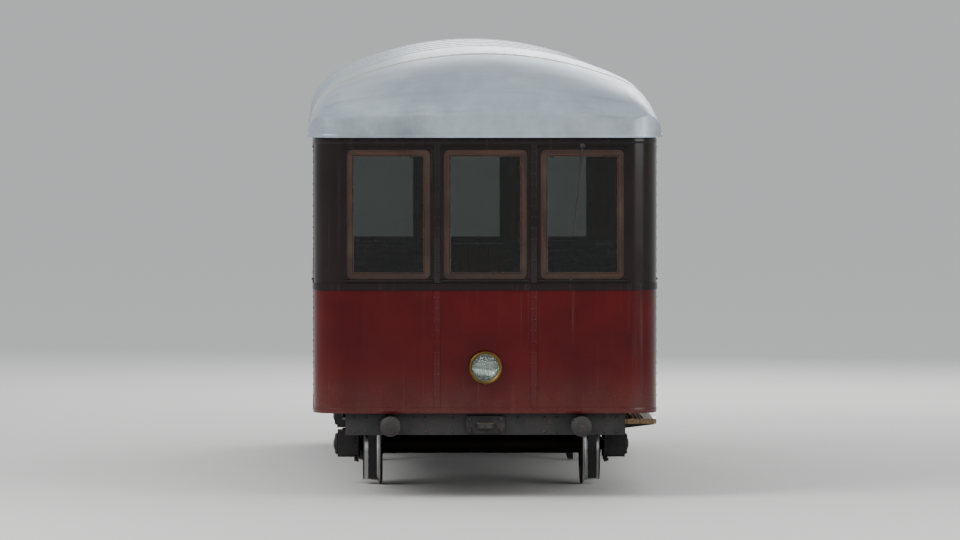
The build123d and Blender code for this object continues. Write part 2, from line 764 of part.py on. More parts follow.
# Rope socket on the uphill headstock, and a towing eye on the downhill one
rope_radius = 15
rope_depth = 180
socket_plate = (260, 120, 20)
socket_plate_corner = 20
socket_profile = [
    # distance along the car, radius
    (inner_length + socket_plate[2] / 2, 0),
    (inner_length + socket_plate[2] / 2, 58),
    (inner_length + 60, 58),
    (inner_length + 90, 50),
    (buffer_ends - 20, 34),
    (buffer_ends - 12, 34),
    (buffer_ends, 26),
    (buffer_ends, rope_radius),
    (buffer_ends - rope_depth, rope_radius),
    (buffer_ends - rope_depth, 0),
]
with BuildPart() as rope_socket:
    with BuildSketch(cross_plane(inner_length)):
        with Locations((0, buffer_z)):
            RectangleRounded(socket_plate[0], socket_plate[1], socket_plate_corner)
    extrude(amount=-socket_plate[2])
    with BuildSketch(Plane(origin=(0, 0, buffer_z), x_dir=(0, 1, 0), z_dir=(1, 0, 0))):
        with BuildLine():
            Polyline(*socket_profile, close=True)
        make_face()
    revolve(axis=Axis((0, 0, buffer_z), (0, 1, 0)))
rope_socket.part.label = "rope_socket"
export_step(rope_socket.part, "parts/rope_socket.step")

eye_hole = 25
eye_radius = 60
eye_thickness = 30
eye_reach = 130
with BuildPart() as towing_eye:
    with BuildSketch(cross_plane(-inner_length - socket_plate[2])):
        with Locations((0, buffer_z)):
            RectangleRounded(socket_plate[0], socket_plate[1], socket_plate_corner)
    extrude(amount=-socket_plate[2])
    with BuildSketch(Plane.XY.offset(buffer_z - eye_thickness / 2)):
        with Locations((0, -inner_length - eye_reach)):
            Circle(eye_radius)
        with Locations((0, -inner_length - eye_reach / 2)):
            Rectangle(2 * eye_radius, eye_reach - 2)
        with Locations((0, -inner_length - eye_reach)):
            Circle(eye_hole, mode=Mode.SUBTRACT)
    extrude(amount=eye_thickness)
towing_eye.part.label = "towing_eye"
export_step(towing_eye.part, "parts/towing_eye.step")

# Guard irons in front of each wheel, on the outer bearers
guard_width = 60
guard_bar = 12
guard_bend_z = 300
guard_low_z = 70
guard_rake = 30
guard_top = frame_top - plate
with BuildPart() as guard_irons:
    for hand, side in corners:
        bearer_face = side * (outer_bearer + bearer_width / 2)
        with BuildSketch(Plane.YZ.offset(hand * rail_centre - guard_width / 2)):
            with BuildLine():
                Polyline(
                    (bearer_face, guard_top),
                    (bearer_face + side * guard_bar, guard_top),
                    (bearer_face + side * guard_bar, guard_bend_z),
                    (bearer_face - side * guard_rake, guard_low_z),
                    (bearer_face - side * (guard_rake + guard_bar), guard_low_z),
                    (bearer_face, guard_bend_z),
                    close=True,
                )
            make_face()
        extrude(amount=guard_width)
guard_irons.part.label = "guard_irons"
export_step(guard_irons.part, "parts/guard_irons.step")

# Footboards under the two doorways, on brackets from the solebar
step_top = rail_top + 440
step_thickness = 30
step_inner = solebar_outer + 35
step_outer = half_width + eave_overhang
step_length = window_width + 40
bracket_bar = 10
bracket_width = 50
bracket_depth = 40
bracket_from_bearer = 130
bracket_offset = (bearer_width + bracket_width) / 2 + bracket_from_bearer
bracket_lines = (brake_bearer + bracket_offset, outer_bearer - bracket_offset)
with BuildPart() as footboards:
    with BuildSketch(Plane.XY.offset(step_top - step_thickness)):
        with Locations(*[((step_inner + step_outer) / 2, bay * bay_pitch) for bay in door_bays]):
            Rectangle(step_outer - step_inner, step_length)
    extrude(amount=step_thickness)
footboards.part.label = "footboards"
export_step(footboards.part, "parts/footboards.step")

with BuildPart() as step_brackets:
    for side in (-1, 1):
        for y in bracket_lines:
            with BuildSketch(cross_plane(side * y + bracket_width / 2)):
                with BuildLine():
                    Polyline(
                        (solebar_outer, frame_top - 2 * bracket_bar),
                        (solebar_outer + bracket_bar, frame_top - 2 * bracket_bar),
                        (solebar_outer + bracket_bar, step_top - step_thickness),
                        (step_outer - bracket_bar, step_top - step_thickness),
                        (step_outer - bracket_bar, step_top - step_thickness - bracket_bar),
                        (solebar_outer, step_top - step_thickness - bracket_depth),
                        close=True,
                    )
                make_face()
            extrude(amount=bracket_width)
step_brackets.part.label = "step_brackets"
export_step(step_brackets.part, "parts/step_brackets.step")

# Slatted benches that face downhill, six along the left wall and three along the right one
bench_gap = 15
door_side_gap = 28
left_aisle = -180
right_aisle = 250
bench_pitch = 1000
first_bench = -inner_length + 890
left_end = -inner_half + bench_gap
right_end = inner_half - bench_gap
door_end = door_inner - door_side_gap
benches = [
    # y of the seat's front edge, x of one end, x of the other
    (first_bench, left_end, left_aisle),
    (first_bench + bench_pitch, left_end, left_aisle),
    (first_bench + 2 * bench_pitch, left_end, left_aisle),
    (first_bench + 3 * bench_pitch, left_end, left_aisle),
    (first_bench + 4 * bench_pitch, left_end, left_aisle),
    (first_bench + 5 * bench_pitch, left_end, left_aisle),
    (first_bench + 2 * bench_pitch, right_aisle, door_end),
    (first_bench + 3 * bench_pitch, right_aisle, door_end),
    (inner_length - bench_pitch + 110, right_aisle, right_end),
]
seat_height = 430
seat_depth = 400
seat_thickness = 25
seat_drop = 15
back_height = 820
back_lean = 70
back_foot = seat_height - seat_drop
seat_outline = [
    # from the front edge, height above the floor
    (0, seat_height - seat_thickness),
    (0, seat_height),
    (seat_depth, back_foot),
    (seat_depth + back_lean, back_height),
    (seat_depth + back_lean + seat_thickness, back_height),
    (seat_depth + seat_thickness, back_foot - seat_thickness),
]
seat_gap = 1.5
frame_outline = [
    # from the front edge, height above the floor
    (20, 0),
    (60, 0),
    (80, seat_height - 90),
    (360, seat_height - 95),
    (400, 0),
    (440, 0),
    (seat_depth, back_foot - seat_thickness - seat_gap),
    (30, seat_height - seat_thickness - seat_gap),
]
frame_inset = 90
frame_bar = 40
with BuildPart() as bench_seats:
    for front, low, high in benches:
        with BuildSketch(Plane.YZ.offset(low)):
            with BuildLine():
                Polyline(*[(front + y, floor_top + z) for y, z in seat_outline], close=True)
            make_face()
        extrude(amount=high - low)
bench_seats.part.label = "bench_seats"
export_step(bench_seats.part, "parts/bench_seats.step")

with BuildPart() as bench_frames:
    for front, low, high in benches:
        for x in (low + frame_inset, high - frame_inset):
            with BuildSketch(Plane.YZ.offset(x - frame_bar / 2)):
                with BuildLine():
                    Polyline(*[(front + y, floor_top + z) for y, z in frame_outline], close=True)
                make_face()
            extrude(amount=frame_bar)
bench_frames.part.label = "bench_frames"
export_step(bench_frames.part, "parts/bench_frames.step")

# Driver's desk and hand brake at the downhill end
desk_low_x = 60
desk_high_x = inner_half - 340
desk_depth = 340
desk_height = 760
desk_outline = [
    # from the end wall, height above the floor
    (0, 0),
    (desk_depth - 60, 0),
    (desk_depth, desk_height - 180),
    (desk_depth - 30, desk_height - 90),
    (60, desk_height),
    (0, desk_height),
]
with BuildPart() as control_desk:
    with BuildSketch(Plane.YZ.offset(desk_low_x)):
        with BuildLine():
            Polyline(*[(-inner_length + y, floor_top + z) for y, z in desk_outline], close=True)
        make_face()
    extrude(amount=desk_high_x - desk_low_x)
control_desk.part.label = "control_desk"
export_step(control_desk.part, "parts/control_desk.step")

column_place = (-330, -inner_length + 290)
column_profile = [
    # radius, height above the floor
    (0, 0),
    (110, 0),
    (110, 14),
    (48, 30),
    (38, 60),
    (30, 700),
    (44, 720),
    (44, 740),
    (18, 750),
    (18, 800),
    (0, 800),
]
brake_wheel_radius = 190
brake_wheel_bar = 14
brake_wheel_height = 780
spoke_width = 24
spoke_thickness = 12
with BuildPart() as hand_brake:
    with BuildSketch(Plane(origin=(*column_place, floor_top), x_dir=(1, 0, 0), z_dir=(0, -1, 0))):
        with BuildLine():
            Polyline(*column_profile, close=True)
        make_face()
    revolve(axis=Axis((*column_place, 0), (0, 0, 1)))
    with BuildSketch(Plane(origin=(*column_place, floor_top), x_dir=(1, 0, 0), z_dir=(0, -1, 0))):
        with Locations((brake_wheel_radius, brake_wheel_height)):
            Circle(brake_wheel_bar)
    revolve(axis=Axis((*column_place, 0), (0, 0, 1)))
    with BuildSketch(Plane.XY.offset(floor_top + brake_wheel_height - spoke_thickness / 2)):
        with Locations(column_place):
            Rectangle(2 * brake_wheel_radius, spoke_width)
            Rectangle(spoke_width, 2 * brake_wheel_radius)
    extrude(amount=spoke_thickness)
hand_brake.part.label = "hand_brake"
export_step(hand_brake.part, "parts/hand_brake.step")

# Equipment case between the axles, under the bearers
case_low_x = -solebar_inner + 17
case_high_x = -330
case_half = 480
case_depth = 250
case_corner = 25
with BuildPart() as equipment_case:
    with BuildSketch(Plane.XY.offset(bearer_bottom - case_depth)):
        with Locations(((case_low_x + case_high_x) / 2, 0)):
            RectangleRounded(case_high_x - case_low_x, 2 * case_half, case_corner)
    extrude(amount=case_depth)
equipment_case.part.label = "equipment_case"
export_step(equipment_case.part, "parts/equipment_case.step")

# Headlamps, one in the middle of each end
lamp_z = waist_z - 540
lamp_radius = 105
lamp_depth = 62
lamp_glass_radius = lamp_radius - 15
lamp_glass_thickness = 6
lamp_profile = [
    # distance from the wall, radius
    (0, 0),
    (0, lamp_radius - 20),
    (30, lamp_radius - 8),
    (45, lamp_radius),
    (lamp_depth, lamp_radius),
    (lamp_depth, lamp_radius - 12),
    (lamp_depth - 25, lamp_radius - 18),
    (14, 40),
    (10, 0),
]
with BuildPart() as headlamps:
    for side in (-1, 1):
        with BuildSketch(Plane(origin=(0, 0, lamp_z), x_dir=(0, 1, 0), z_dir=(1, 0, 0))):
            with BuildLine():
                Polyline(*[(side * (half_length + y), r) for y, r in lamp_profile], close=True)
            make_face()
        revolve(axis=Axis((0, 0, lamp_z), (0, 1, 0)))
headlamps.part.label = "headlamps"
export_step(headlamps.part, "parts/headlamps.step")

with BuildPart() as headlamp_glass:
    for side in (-1, 1):
        with BuildSketch(cross_plane(side * (half_length + lamp_depth - 7) + lamp_glass_thickness / 2)):
            with Locations((0, lamp_z)):
                Circle(lamp_glass_radius)
        extrude(amount=lamp_glass_thickness)
headlamp_glass.part.label = "headlamp_glass"
export_step(headlamp_glass.part, "parts/headlamp_glass.step")

# Grab rails outside, beside the doorways, and two along the ceiling
rail_tube = 13
grab_stand = 26
grab_low = floor_top + 120
grab_high = window_top - 150
grab_stem_inset = 40
grab_stem_radius = 10
with BuildPart() as door_grab_rails:
    for bay in door_bays:
        for end in (-1, 1):
            y = bay * bay_pitch + end * bay_pitch / 2
            with BuildSketch(Plane.XY.offset(grab_low)):
                with Locations((half_width + grab_stand, y)):
                    Circle(rail_tube)
            extrude(amount=grab_high - grab_low)
            with BuildSketch(Plane.YZ.offset(half_width)):
                with Locations((y, grab_low + grab_stem_inset), (y, grab_high - grab_stem_inset)):
                    Circle(grab_stem_radius)
            extrude(amount=grab_stand)
door_grab_rails.part.label = "door_grab_rails"
export_step(door_grab_rails.part, "parts/door_grab_rails.step")

ceiling_rail_x = inner_half - 620
ceiling_rail_z = eave_z - 158
ceiling_rail_half = straight_half - 180
ceiling_hangers = [(i - 1.5) * ceiling_rail_half / 1.55 for i in range(4)]
hanger_radius = 9
ceiling_z = eave_z + arch_height(ceiling_rail_x + hanger_radius, inner_half, roof_rise - roof_thickness) - fit
with BuildPart() as ceiling_rails:
    for hand in (-1, 1):
        with BuildSketch(cross_plane(ceiling_rail_half)):
            with Locations((hand * ceiling_rail_x, ceiling_rail_z)):
                Circle(rail_tube)
        extrude(amount=2 * ceiling_rail_half)
        with BuildSketch(Plane.XY.offset(ceiling_rail_z)):
            with Locations(*[(hand * ceiling_rail_x, y) for y in ceiling_hangers]):
                Circle(hanger_radius)
        extrude(amount=ceiling_z - ceiling_rail_z)
ceiling_rails.part.label = "ceiling_rails"
export_step(ceiling_rails.part, "parts/ceiling_rails.step")
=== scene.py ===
import json
import math

import bpy
from mathutils import Matrix, Vector


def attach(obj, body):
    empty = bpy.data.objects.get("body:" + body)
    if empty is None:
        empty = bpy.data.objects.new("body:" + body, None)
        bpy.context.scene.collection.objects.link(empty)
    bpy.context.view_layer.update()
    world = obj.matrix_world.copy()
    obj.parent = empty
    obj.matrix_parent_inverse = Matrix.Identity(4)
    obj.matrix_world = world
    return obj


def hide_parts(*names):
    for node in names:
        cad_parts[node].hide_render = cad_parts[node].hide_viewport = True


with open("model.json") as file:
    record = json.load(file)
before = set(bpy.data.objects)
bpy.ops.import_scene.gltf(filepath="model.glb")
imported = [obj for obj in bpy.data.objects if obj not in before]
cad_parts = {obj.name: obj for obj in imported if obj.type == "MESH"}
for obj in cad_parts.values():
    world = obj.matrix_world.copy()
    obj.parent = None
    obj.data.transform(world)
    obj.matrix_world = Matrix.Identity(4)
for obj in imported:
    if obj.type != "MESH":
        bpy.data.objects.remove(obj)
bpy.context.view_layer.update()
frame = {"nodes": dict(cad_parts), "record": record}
print("frame loaded:", len(frame["nodes"]), "nodes")

# sizes shared with the frame, in metres
car = {
    "halfWidth": 1.15, "halfLength": 3.5, "innerWidth": 1.1, "innerLength": 3.45, "cornerRadius": 0.2,
    "wallMiddle": 0.16, "skirt": 0.578, "paintLine": 1.405, "waist": 1.428, "sill": 1.478, "windowTop": 2.348,
    "eave": 2.428, "floorTop": 0.69, "bayPitch": 0.93, "doorY": 1.86, "endPitch": 0.65, "axleY": 1.8,
    "axleZ": 0.278, "rail": 0.7515,
}
signs = (-1, 1)
corners = [(hand, side) for hand in signs for side in signs]
leftBays = [i * car["bayPitch"] for i in range(-3, 4)]
doorBays = [side * car["doorY"] for side in signs]
rightBays = [y for y in leftBays if abs(abs(y) - car["doorY"]) > 0.01]
endBays = [i * car["endPitch"] for i in (-1, 0, 1)]
posts = [(i + 0.5) * car["bayPitch"] for i in range(-4, 4)]
endPosts = [side * car["endPitch"] / 2 for side in signs]
making = {}
modeNames = {
    "Math": "operation", "VectorMath": "operation", "Mix": "data_type", "MapRange": "interpolation_type",
    "TexWhiteNoise": "noise_dimensions", "TexVoronoi": "feature",
}


def linearColour(code):
    # an sRGB hex value turned to linear
    parts = [int(code[i:i + 2], 16) / 255 for i in (1, 3, 5)]
    return [c / 12.92 if c <= 0.04045 else ((c + 0.055) / 1.055) ** 2.4 for c in parts] + [1.0]


def addNode(kind, *values, out=None, mode=None, stops=(), more=None, **named):
    # one node: its mode, its inputs in their order or by name (links, numbers or colours), and ramp stops
    added = making["tree"].nodes.new("ShaderNode" + kind)
    if mode:
        setattr(added, modeNames[kind], mode)
    shown = [socket for socket in added.inputs if socket.enabled]
    byName = [(added.inputs[key], value) for key, value in {**named, **(more or {})}.items()]
    for socket, value in list(zip(shown, values)) + byName:
        if isinstance(value, bpy.types.NodeSocket):
            making["tree"].links.new(value, socket)
        else:
            socket.default_value = linearColour(value) if isinstance(value, str) else value
    for i, (place, shade) in enumerate(stops):
        ramp = added.color_ramp.elements
        stop = ramp[i] if i < 2 else ramp.new(place)
        stop.position = place
        stop.color = linearColour(shade)
    outputs = [socket for socket in added.outputs if socket.enabled and out in (None, socket.name)]
    return outputs[0] if outputs else None


def startMaterial(name):
    # a new material with an empty tree, and the point on the object
    material = bpy.data.materials.new(name)
    material.use_nodes = True
    material.node_tree.nodes.clear()
    making.update(material=material, tree=material.node_tree)
    return addNode("TexCoord", out="Object")


def endMaterial(surface):
    addNode("OutputMaterial", surface)
    return making["material"]


def withinWalls(x, y):
    # 1 inside the wall's middle line, measured outwards from the rectangle between the corner arcs' middles
    past = []
    for value, wall in ((x, car["halfWidth"]), (y, car["halfLength"])):
        reach = wall - car["cornerRadius"]
        away = addNode("Math", addNode("Math", value, mode="ABSOLUTE"), reach, mode="SUBTRACT")
        past.append(addNode("Math", away, 0.0, mode="MAXIMUM"))
    depth = addNode("VectorMath", addNode("CombineXYZ", *past), mode="LENGTH")
    return addNode("Math", depth, car["wallMiddle"], mode="LESS_THAN")


def mottled(place, stops, low, high, **settings):
    # a cloudy noise, the colour it gives and the roughness it gives
    blotch = addNode("TexNoise", place, **settings)
    return blotch, addNode("ValToRGB", blotch, stops=stops), addNode("MapRange", blotch, 0.2, 0.8, low, high)


def boardsAlong(value, wide, jointShare):
    # boards of one width: 0 in the joints and 1 between them, and a shade of grey for each board
    board = addNode("Math", value, wide, mode="DIVIDE")
    fromJoint = addNode("Math", board, 0.5, mode="PINGPONG")
    joint = addNode("MapRange", fromJoint, 0.0, jointShare, mode="SMOOTHSTEP")
    number = addNode("Math", board, mode="FLOOR")
    return joint, addNode("TexWhiteNoise", number, mode="1D")


def coachEnamel(name, innerFace=None):
    # Coach enamel, brushed on sheet steel: maroon under the waist, brown-black over it, a gloss on a slightly
    # wavy sheet, road dust low down, thin rain streaks. The inner side is varnished matchboard, 70 mm wide.
    place = startMaterial(name)
    x, y, z = addNode("SeparateXYZ", place).node.outputs
    inside = addNode("Math", x, innerFace, mode="LESS_THAN") if innerFace else withinWalls(x, y)
    blotch = addNode("TexNoise", place, Scale=2.6, Detail=4.0)
    maroon = addNode("ValToRGB", blotch, stops=[(0.35, "#3c0508"), (0.65, "#49070a")])
    upper = addNode("ValToRGB", blotch, stops=[(0.35, "#15100f"), (0.65, "#1d1614")])
    overWaist = addNode("MapRange", z, car["paintLine"] - 0.0005, car["paintLine"] + 0.0005)
    paint = addNode("Mix", overWaist, maroon, upper, mode="RGBA")
    # dust thrown up from the line, thickest at the skirt
    cloud = addNode("TexNoise", place, Scale=5.0, Detail=6.0, Roughness=0.62)
    lowDust = addNode("MapRange", z, 0.92, 0.57, 0.0, 0.34, mode="SMOOTHSTEP")
    dust = addNode("Math", lowDust, cloud, mode="MULTIPLY")
    # rain streaks 20 to 40 mm wide, faint
    tall = addNode("Mapping", place, Scale=(30, 30, 1.1))
    run = addNode("TexNoise", tall, Scale=1.0, Detail=4.0, Roughness=0.6)
    streak = addNode("MapRange", run, 0.56, 0.76, 0.0, 0.12, mode="SMOOTHSTEP")
    film = addNode("Math", dust, streak, mode="ADD")
    dirty = addNode("Mix", film, paint, "#57473c", mode="RGBA")
    # stone chips of 3 to 8 mm near the skirt
    chipSpot = addNode("MapRange", addNode("TexNoise", place, Scale=95.0, Detail=2.0), 0.70, 0.73)
    chips = addNode("Math", chipSpot, addNode("MapRange", z, 0.86, 0.60), mode="MULTIPLY")
    worn = addNode("Mix", chips, dirty, "#3b2318", mode="RGBA")
    # the boards run upwards and are counted along whichever wall this is
    normal = addNode("SeparateXYZ", addNode("NewGeometry", out="Normal"))
    onSide = addNode("Math", addNode("Math", normal, mode="ABSOLUTE"), 0.7, mode="GREATER_THAN")
    groove, shade = boardsAlong(addNode("Mix", onSide, x, y, mode="FLOAT"), 0.07, 0.045)
    drawn = addNode("Mapping", place, Scale=(40, 40, 2.2))
    grain = addNode("TexNoise", drawn, Scale=1.0, Detail=6.0, Distortion=0.6)
    tone = addNode("Math", shade, 0.16, grain, mode="MULTIPLY_ADD")
    wood = addNode("ValToRGB", tone, stops=[(0.35, "#4a2812"), (0.75, "#774722")])
    lining = addNode("Mix", groove, "#1b0f08", wood, mode="RGBA")
    colour = addNode("Mix", inside, worn, lining, mode="RGBA")
    gloss = addNode("Math", film, 0.7, 0.15, mode="MULTIPLY_ADD")
    roughness = addNode("Math", cloud, 0.10, gloss, mode="MULTIPLY_ADD")
    # a sheet that waves over half a metre, then orange peel of 4 mm, drawn twice as deep to show
    sheet = addNode("TexNoise", place, Scale=2.2, Detail=1.0)
    wave = addNode("Bump", Strength=0.5, Distance=0.006, Height=sheet)
    peel = addNode("TexNoise", place, Scale=250.0, Detail=2.0)
    skin = addNode("Bump", Strength=0.3, Distance=0.0004, Height=peel, Normal=wave)
    flat = addNode("Math", 1.0, inside, mode="SUBTRACT")
    boards = addNode("Math", groove, flat, mode="MAXIMUM")
    relief = addNode("Bump", Distance=0.003, Height=boards, Normal=skin)
    return endMaterial(addNode("BsdfPrincipled", colour, 0.0, roughness, 1.38, Normal=relief,
                               more={"Coat Weight": 0.1, "Coat Roughness": 0.08}))


def aluminiumPaint():
    # Aluminium paint, brushed on sheet steel: a cool metallic sheen gone chalky on top, and soot that rain
    # draws down to the gutters. The ceiling under it is cream oil paint.
    place = startMaterial("aluminiumPaintBrushed")
    x, y, z = addNode("SeparateXYZ", place).node.outputs
    facing = addNode("SeparateXYZ", addNode("NewGeometry", out="True Normal"), out="Z")
    downward = addNode("Math", facing, -0.02, mode="LESS_THAN")
    ceiling = addNode("Math", withinWalls(x, y), downward, mode="MULTIPLY")
    blotch = addNode("TexNoise", place, Scale=2.4, Detail=6.0, Roughness=0.62)
    silver = addNode("ValToRGB", blotch, stops=[(0.3, "#9aa5ad"), (0.7, "#bcc6cd")])
    # runs 40 to 80 mm wide down the slope, stronger towards the gutter
    downhill = addNode("Mapping", place, Scale=(1.2, 14, 1.2))
    run = addNode("TexNoise", downhill, Scale=1.0, Detail=5.0, Roughness=0.6)
    runSpot = addNode("MapRange", run, 0.46, 0.74, mode="SMOOTHSTEP")
    lowEdge = addNode("MapRange", z, 2.85, 2.45, 0.14, 0.62, mode="SMOOTHSTEP")
    soot = addNode("Math", runSpot, lowEdge, mode="MULTIPLY")
    sooty = addNode("Mix", soot, silver, "#55585a", mode="RGBA")
    # brush marks 8 mm wide along the car's width
    brush = addNode("TexNoise", addNode("Mapping", place, Scale=(3, 110, 3)), Scale=1.0, Detail=4.0)
    brushed = addNode("Mix", addNode("Math", brush, 0.14, mode="MULTIPLY"), sooty, "#7d868d", mode="RGBA")
    cream = addNode("ValToRGB", blotch, stops=[(0.35, "#cfc19f"), (0.7, "#bcab86")])
    colour = addNode("Mix", ceiling, brushed, cream, mode="RGBA")
    roughness = addNode("MapRange", blotch, 0.3, 0.8, 0.30, 0.52)
    clean = addNode("Math", soot, -0.5, 0.62, mode="MULTIPLY_ADD")
    metal = addNode("Math", addNode("Math", 1.0, ceiling, mode="SUBTRACT"), clean, mode="MULTIPLY")
    dent = addNode("TexNoise", place, Scale=3.2, Detail=2.0)
    dents = addNode("Bump", Strength=0.6, Distance=0.006, Height=dent)
    strokes = addNode("Bump", Strength=0.35, Distance=0.0006, Height=brush, Normal=dents)
    return endMaterial(addNode("BsdfPrincipled", colour, metal, roughness, Normal=strokes))


def bitumenEnamel():
    # Bitumen enamel on rolled steel: satin black, dusty on what faces up, rust breaking through in spots.
    place = startMaterial("bitumenEnamelOnSteel")
    facing = addNode("SeparateXYZ", addNode("NewGeometry", out="Normal"), out="Z")
    stops = [(0.3, "#111113"), (0.75, "#222226")]
    blotch, black, roughness = mottled(place, stops, 0.38, 0.66, Scale=7.0, Detail=6.0, Roughness=0.6)
    # rust spots of 5 to 15 mm, only in some places
    spots = addNode("TexNoise", place, Scale=70.0, Detail=5.0, Roughness=0.7)
    spot = addNode("MapRange", spots, 0.58, 0.66, mode="SMOOTHSTEP")
    patches = addNode("TexNoise", place, Scale=4.0, Detail=3.0)
    patch = addNode("MapRange", patches, 0.46, 0.60, mode="SMOOTHSTEP")
    rusty = addNode("Mix", addNode("Math", spot, patch, mode="MULTIPLY"), black, "#5b2f17", mode="RGBA")
    upward = addNode("MapRange", facing, 0.3, 0.95, 0.06, 0.6, mode="SMOOTHSTEP")
    lying = addNode("MapRange", blotch, 0.2, 0.6, mode="SMOOTHSTEP")
    dusty = addNode("Mix", addNode("Math", upward, lying, mode="MULTIPLY"), rusty, "#6a5e51", mode="RGBA")
    scale = addNode("TexNoise", place, Scale=220.0, Detail=3.0)
    skin = addNode("Bump", Strength=0.5, Distance=0.0006, Height=scale)
    pits = addNode("Bump", Strength=0.5, Distance=0.0004, Height=spot, Normal=skin)
    return endMaterial(addNode("BsdfPrincipled", dusty, Roughness=roughness, Normal=pits,
                               more={"Specular IOR Level": 0.45}))


def springSteel():
    # Spring steel, rolled and hardened: blue-black scale, rust bleeding between the leaves, oil on top.
    place = startMaterial("springSteelRolled")
    stops = [(0.3, "#1f2226"), (0.55, "#34312f"), (0.72, "#5a3c28")]
    streaks = addNode("Mapping", place, Scale=(10, 2, 60))
    colour, roughness = mottled(streaks, stops, 0.34, 0.62, Scale=1.0, Detail=5.0)[1:]
    lines = addNode("TexNoise", addNode("Mapping", place, Scale=(400, 40, 400)), Scale=1.0, Detail=3.0)
    grain = addNode("Bump", Strength=0.5, Distance=0.0004, Height=lines)
    return endMaterial(addNode("BsdfPrincipled", colour, 0.65, roughness, Normal=grain))


def wheelSteel():
    # Wheel steel, forged and turned: rust-brown web, black grease by the hub, a tread that the rail polishes.
    place = startMaterial("wheelSteelForged")
    x, y, z = addNode("SeparateXYZ", place).node.outputs
    across = addNode("Math", x, mode="ABSOLUTE")
    fromAxle = addNode("Math", addNode("Math", y, mode="ABSOLUTE"), car["axleY"], mode="SUBTRACT")
    height = addNode("Math", z, car["axleZ"], mode="SUBTRACT")
    radius = addNode("VectorMath", addNode("CombineXYZ", fromAxle, height), mode="LENGTH")
    outer = addNode("MapRange", radius, 0.2445, 0.2475, mode="SMOOTHSTEP")
    inner = addNode("MapRange", across, 0.694, 0.706, mode="SMOOTHSTEP")
    rim = addNode("MapRange", across, 0.812, 0.800, mode="SMOOTHSTEP")
    onTread = addNode("Math", outer, addNode("Math", inner, rim, mode="MULTIPLY"), mode="MULTIPLY")
    stops = [(0.3, "#241e1b"), (0.55, "#3c2d25"), (0.75, "#5d4232")]
    brown, dull = mottled(place, stops, 0.46, 0.7, Scale=14.0, Detail=6.0, Roughness=0.62)[1:]
    nearHub = addNode("MapRange", radius, 0.16, 0.06, 0.0, 0.8, mode="SMOOTHSTEP")
    greasy = addNode("Mix", nearHub, brown, "#15130f", mode="RGBA")
    colour = addNode("Mix", onTread, greasy, "#aeb0b1", mode="RGBA")
    roughness = addNode("Mix", onTread, dull, 0.2, mode="FLOAT")
    metal = addNode("Math", onTread, 0.65, 0.35, mode="MULTIPLY_ADD")
    # turning marks 3 mm apart across the tread
    ridges = addNode("TexNoise", addNode("Mapping", place, Scale=(330, 6, 6)), Scale=1.0, Detail=2.0)
    forged = addNode("TexNoise", place, Scale=120.0, Detail=4.0)
    skin = addNode("Bump", Strength=0.5, Distance=0.0009, Height=forged)
    marks = addNode("Bump", Strength=0.4, Distance=0.0004, Height=ridges, Normal=skin)
    return endMaterial(addNode("BsdfPrincipled", colour, metal, roughness, Normal=marks))


def castIron():
    # Grey iron, sand cast: a coarse dark skin with brown brake dust settled in it.
    place = startMaterial("greyIronSandCast")
    stops = [(0.3, "#222223"), (0.55, "#302c2a"), (0.75, "#523c2e")]
    colour, roughness = mottled(place, stops, 0.52, 0.72, Scale=9.0, Detail=6.0, Roughness=0.6)[1:]
    sand = addNode("TexNoise", place, Scale=420.0, Detail=3.0, Roughness=0.7)
    skin = addNode("Bump", Strength=0.7, Distance=0.001, Height=sand)
    return endMaterial(addNode("BsdfPrincipled", colour, 0.45, roughness, Normal=skin))


def varnishedTeak(name, along, railHeights=()):
    # Teak, planed and varnished: dark gold-brown, grain along each member, gloss worn thin in patches. On a
    # sash the grain turns where the stile meets a rail: railHeights gives the rails' lower and upper edges.
    place = startMaterial(name)
    squeeze = [34.0, 34.0, 34.0]
    squeeze[along] = 1.8
    grainPlace = addNode("Mapping", place, Scale=squeeze)
    if railHeights:
        onRail, z = 0.0, addNode("SeparateXYZ", place, out="Z")
        for low, high in railHeights:
            middle = addNode("Math", addNode("Math", z, (low + high) / 2, mode="SUBTRACT"), mode="ABSOLUTE")
            near = addNode("Math", middle, (high - low) / 2, mode="LESS_THAN")
            onRail = addNode("Math", onRail, near, mode="MAXIMUM")
        sideways = addNode("Mapping", place, Scale=(1.8, 1.8, 34.0))
        grainPlace = addNode("Mix", onRail, grainPlace, sideways, mode="VECTOR")
    rings = addNode("TexNoise", grainPlace, Scale=1.0, Detail=6.0, Roughness=0.62, Distortion=0.8)
    # pores under 1 mm wide, drawn 2 mm wide to show
    pore = addNode("TexNoise", grainPlace, Scale=14.0, Detail=2.0)
    blotch = addNode("TexNoise", place, Scale=4.0, Detail=4.0)
    wood = addNode("ValToRGB", rings, stops=[(0.3, "#1b0d06"), (0.5, "#2c170b"), (0.72, "#442613")])
    poreSpot = addNode("MapRange", pore, 0.56, 0.7, 0.0, 0.5, mode="SMOOTHSTEP")
    pored = addNode("Mix", poreSpot, wood, "#1f0f07", mode="RGBA")
    thin = addNode("MapRange", blotch, 0.5, 0.8, 0.0, 0.28, mode="SMOOTHSTEP")
    aged = addNode("Mix", thin, pored, "#4f3c29", mode="RGBA")
    roughness = addNode("MapRange", blotch, 0.4, 0.8, 0.22, 0.5)
    figure = addNode("Bump", Strength=0.5, Distance=0.0007, Height=rings)
    relief = addNode("Bump", Strength=0.4, Distance=0.0003, Height=pore, Normal=figure)
    return endMaterial(addNode("BsdfPrincipled", aged, Roughness=roughness, Normal=relief,
                               more={"Coat Weight": 0.4, "Coat Roughness": 0.15}))


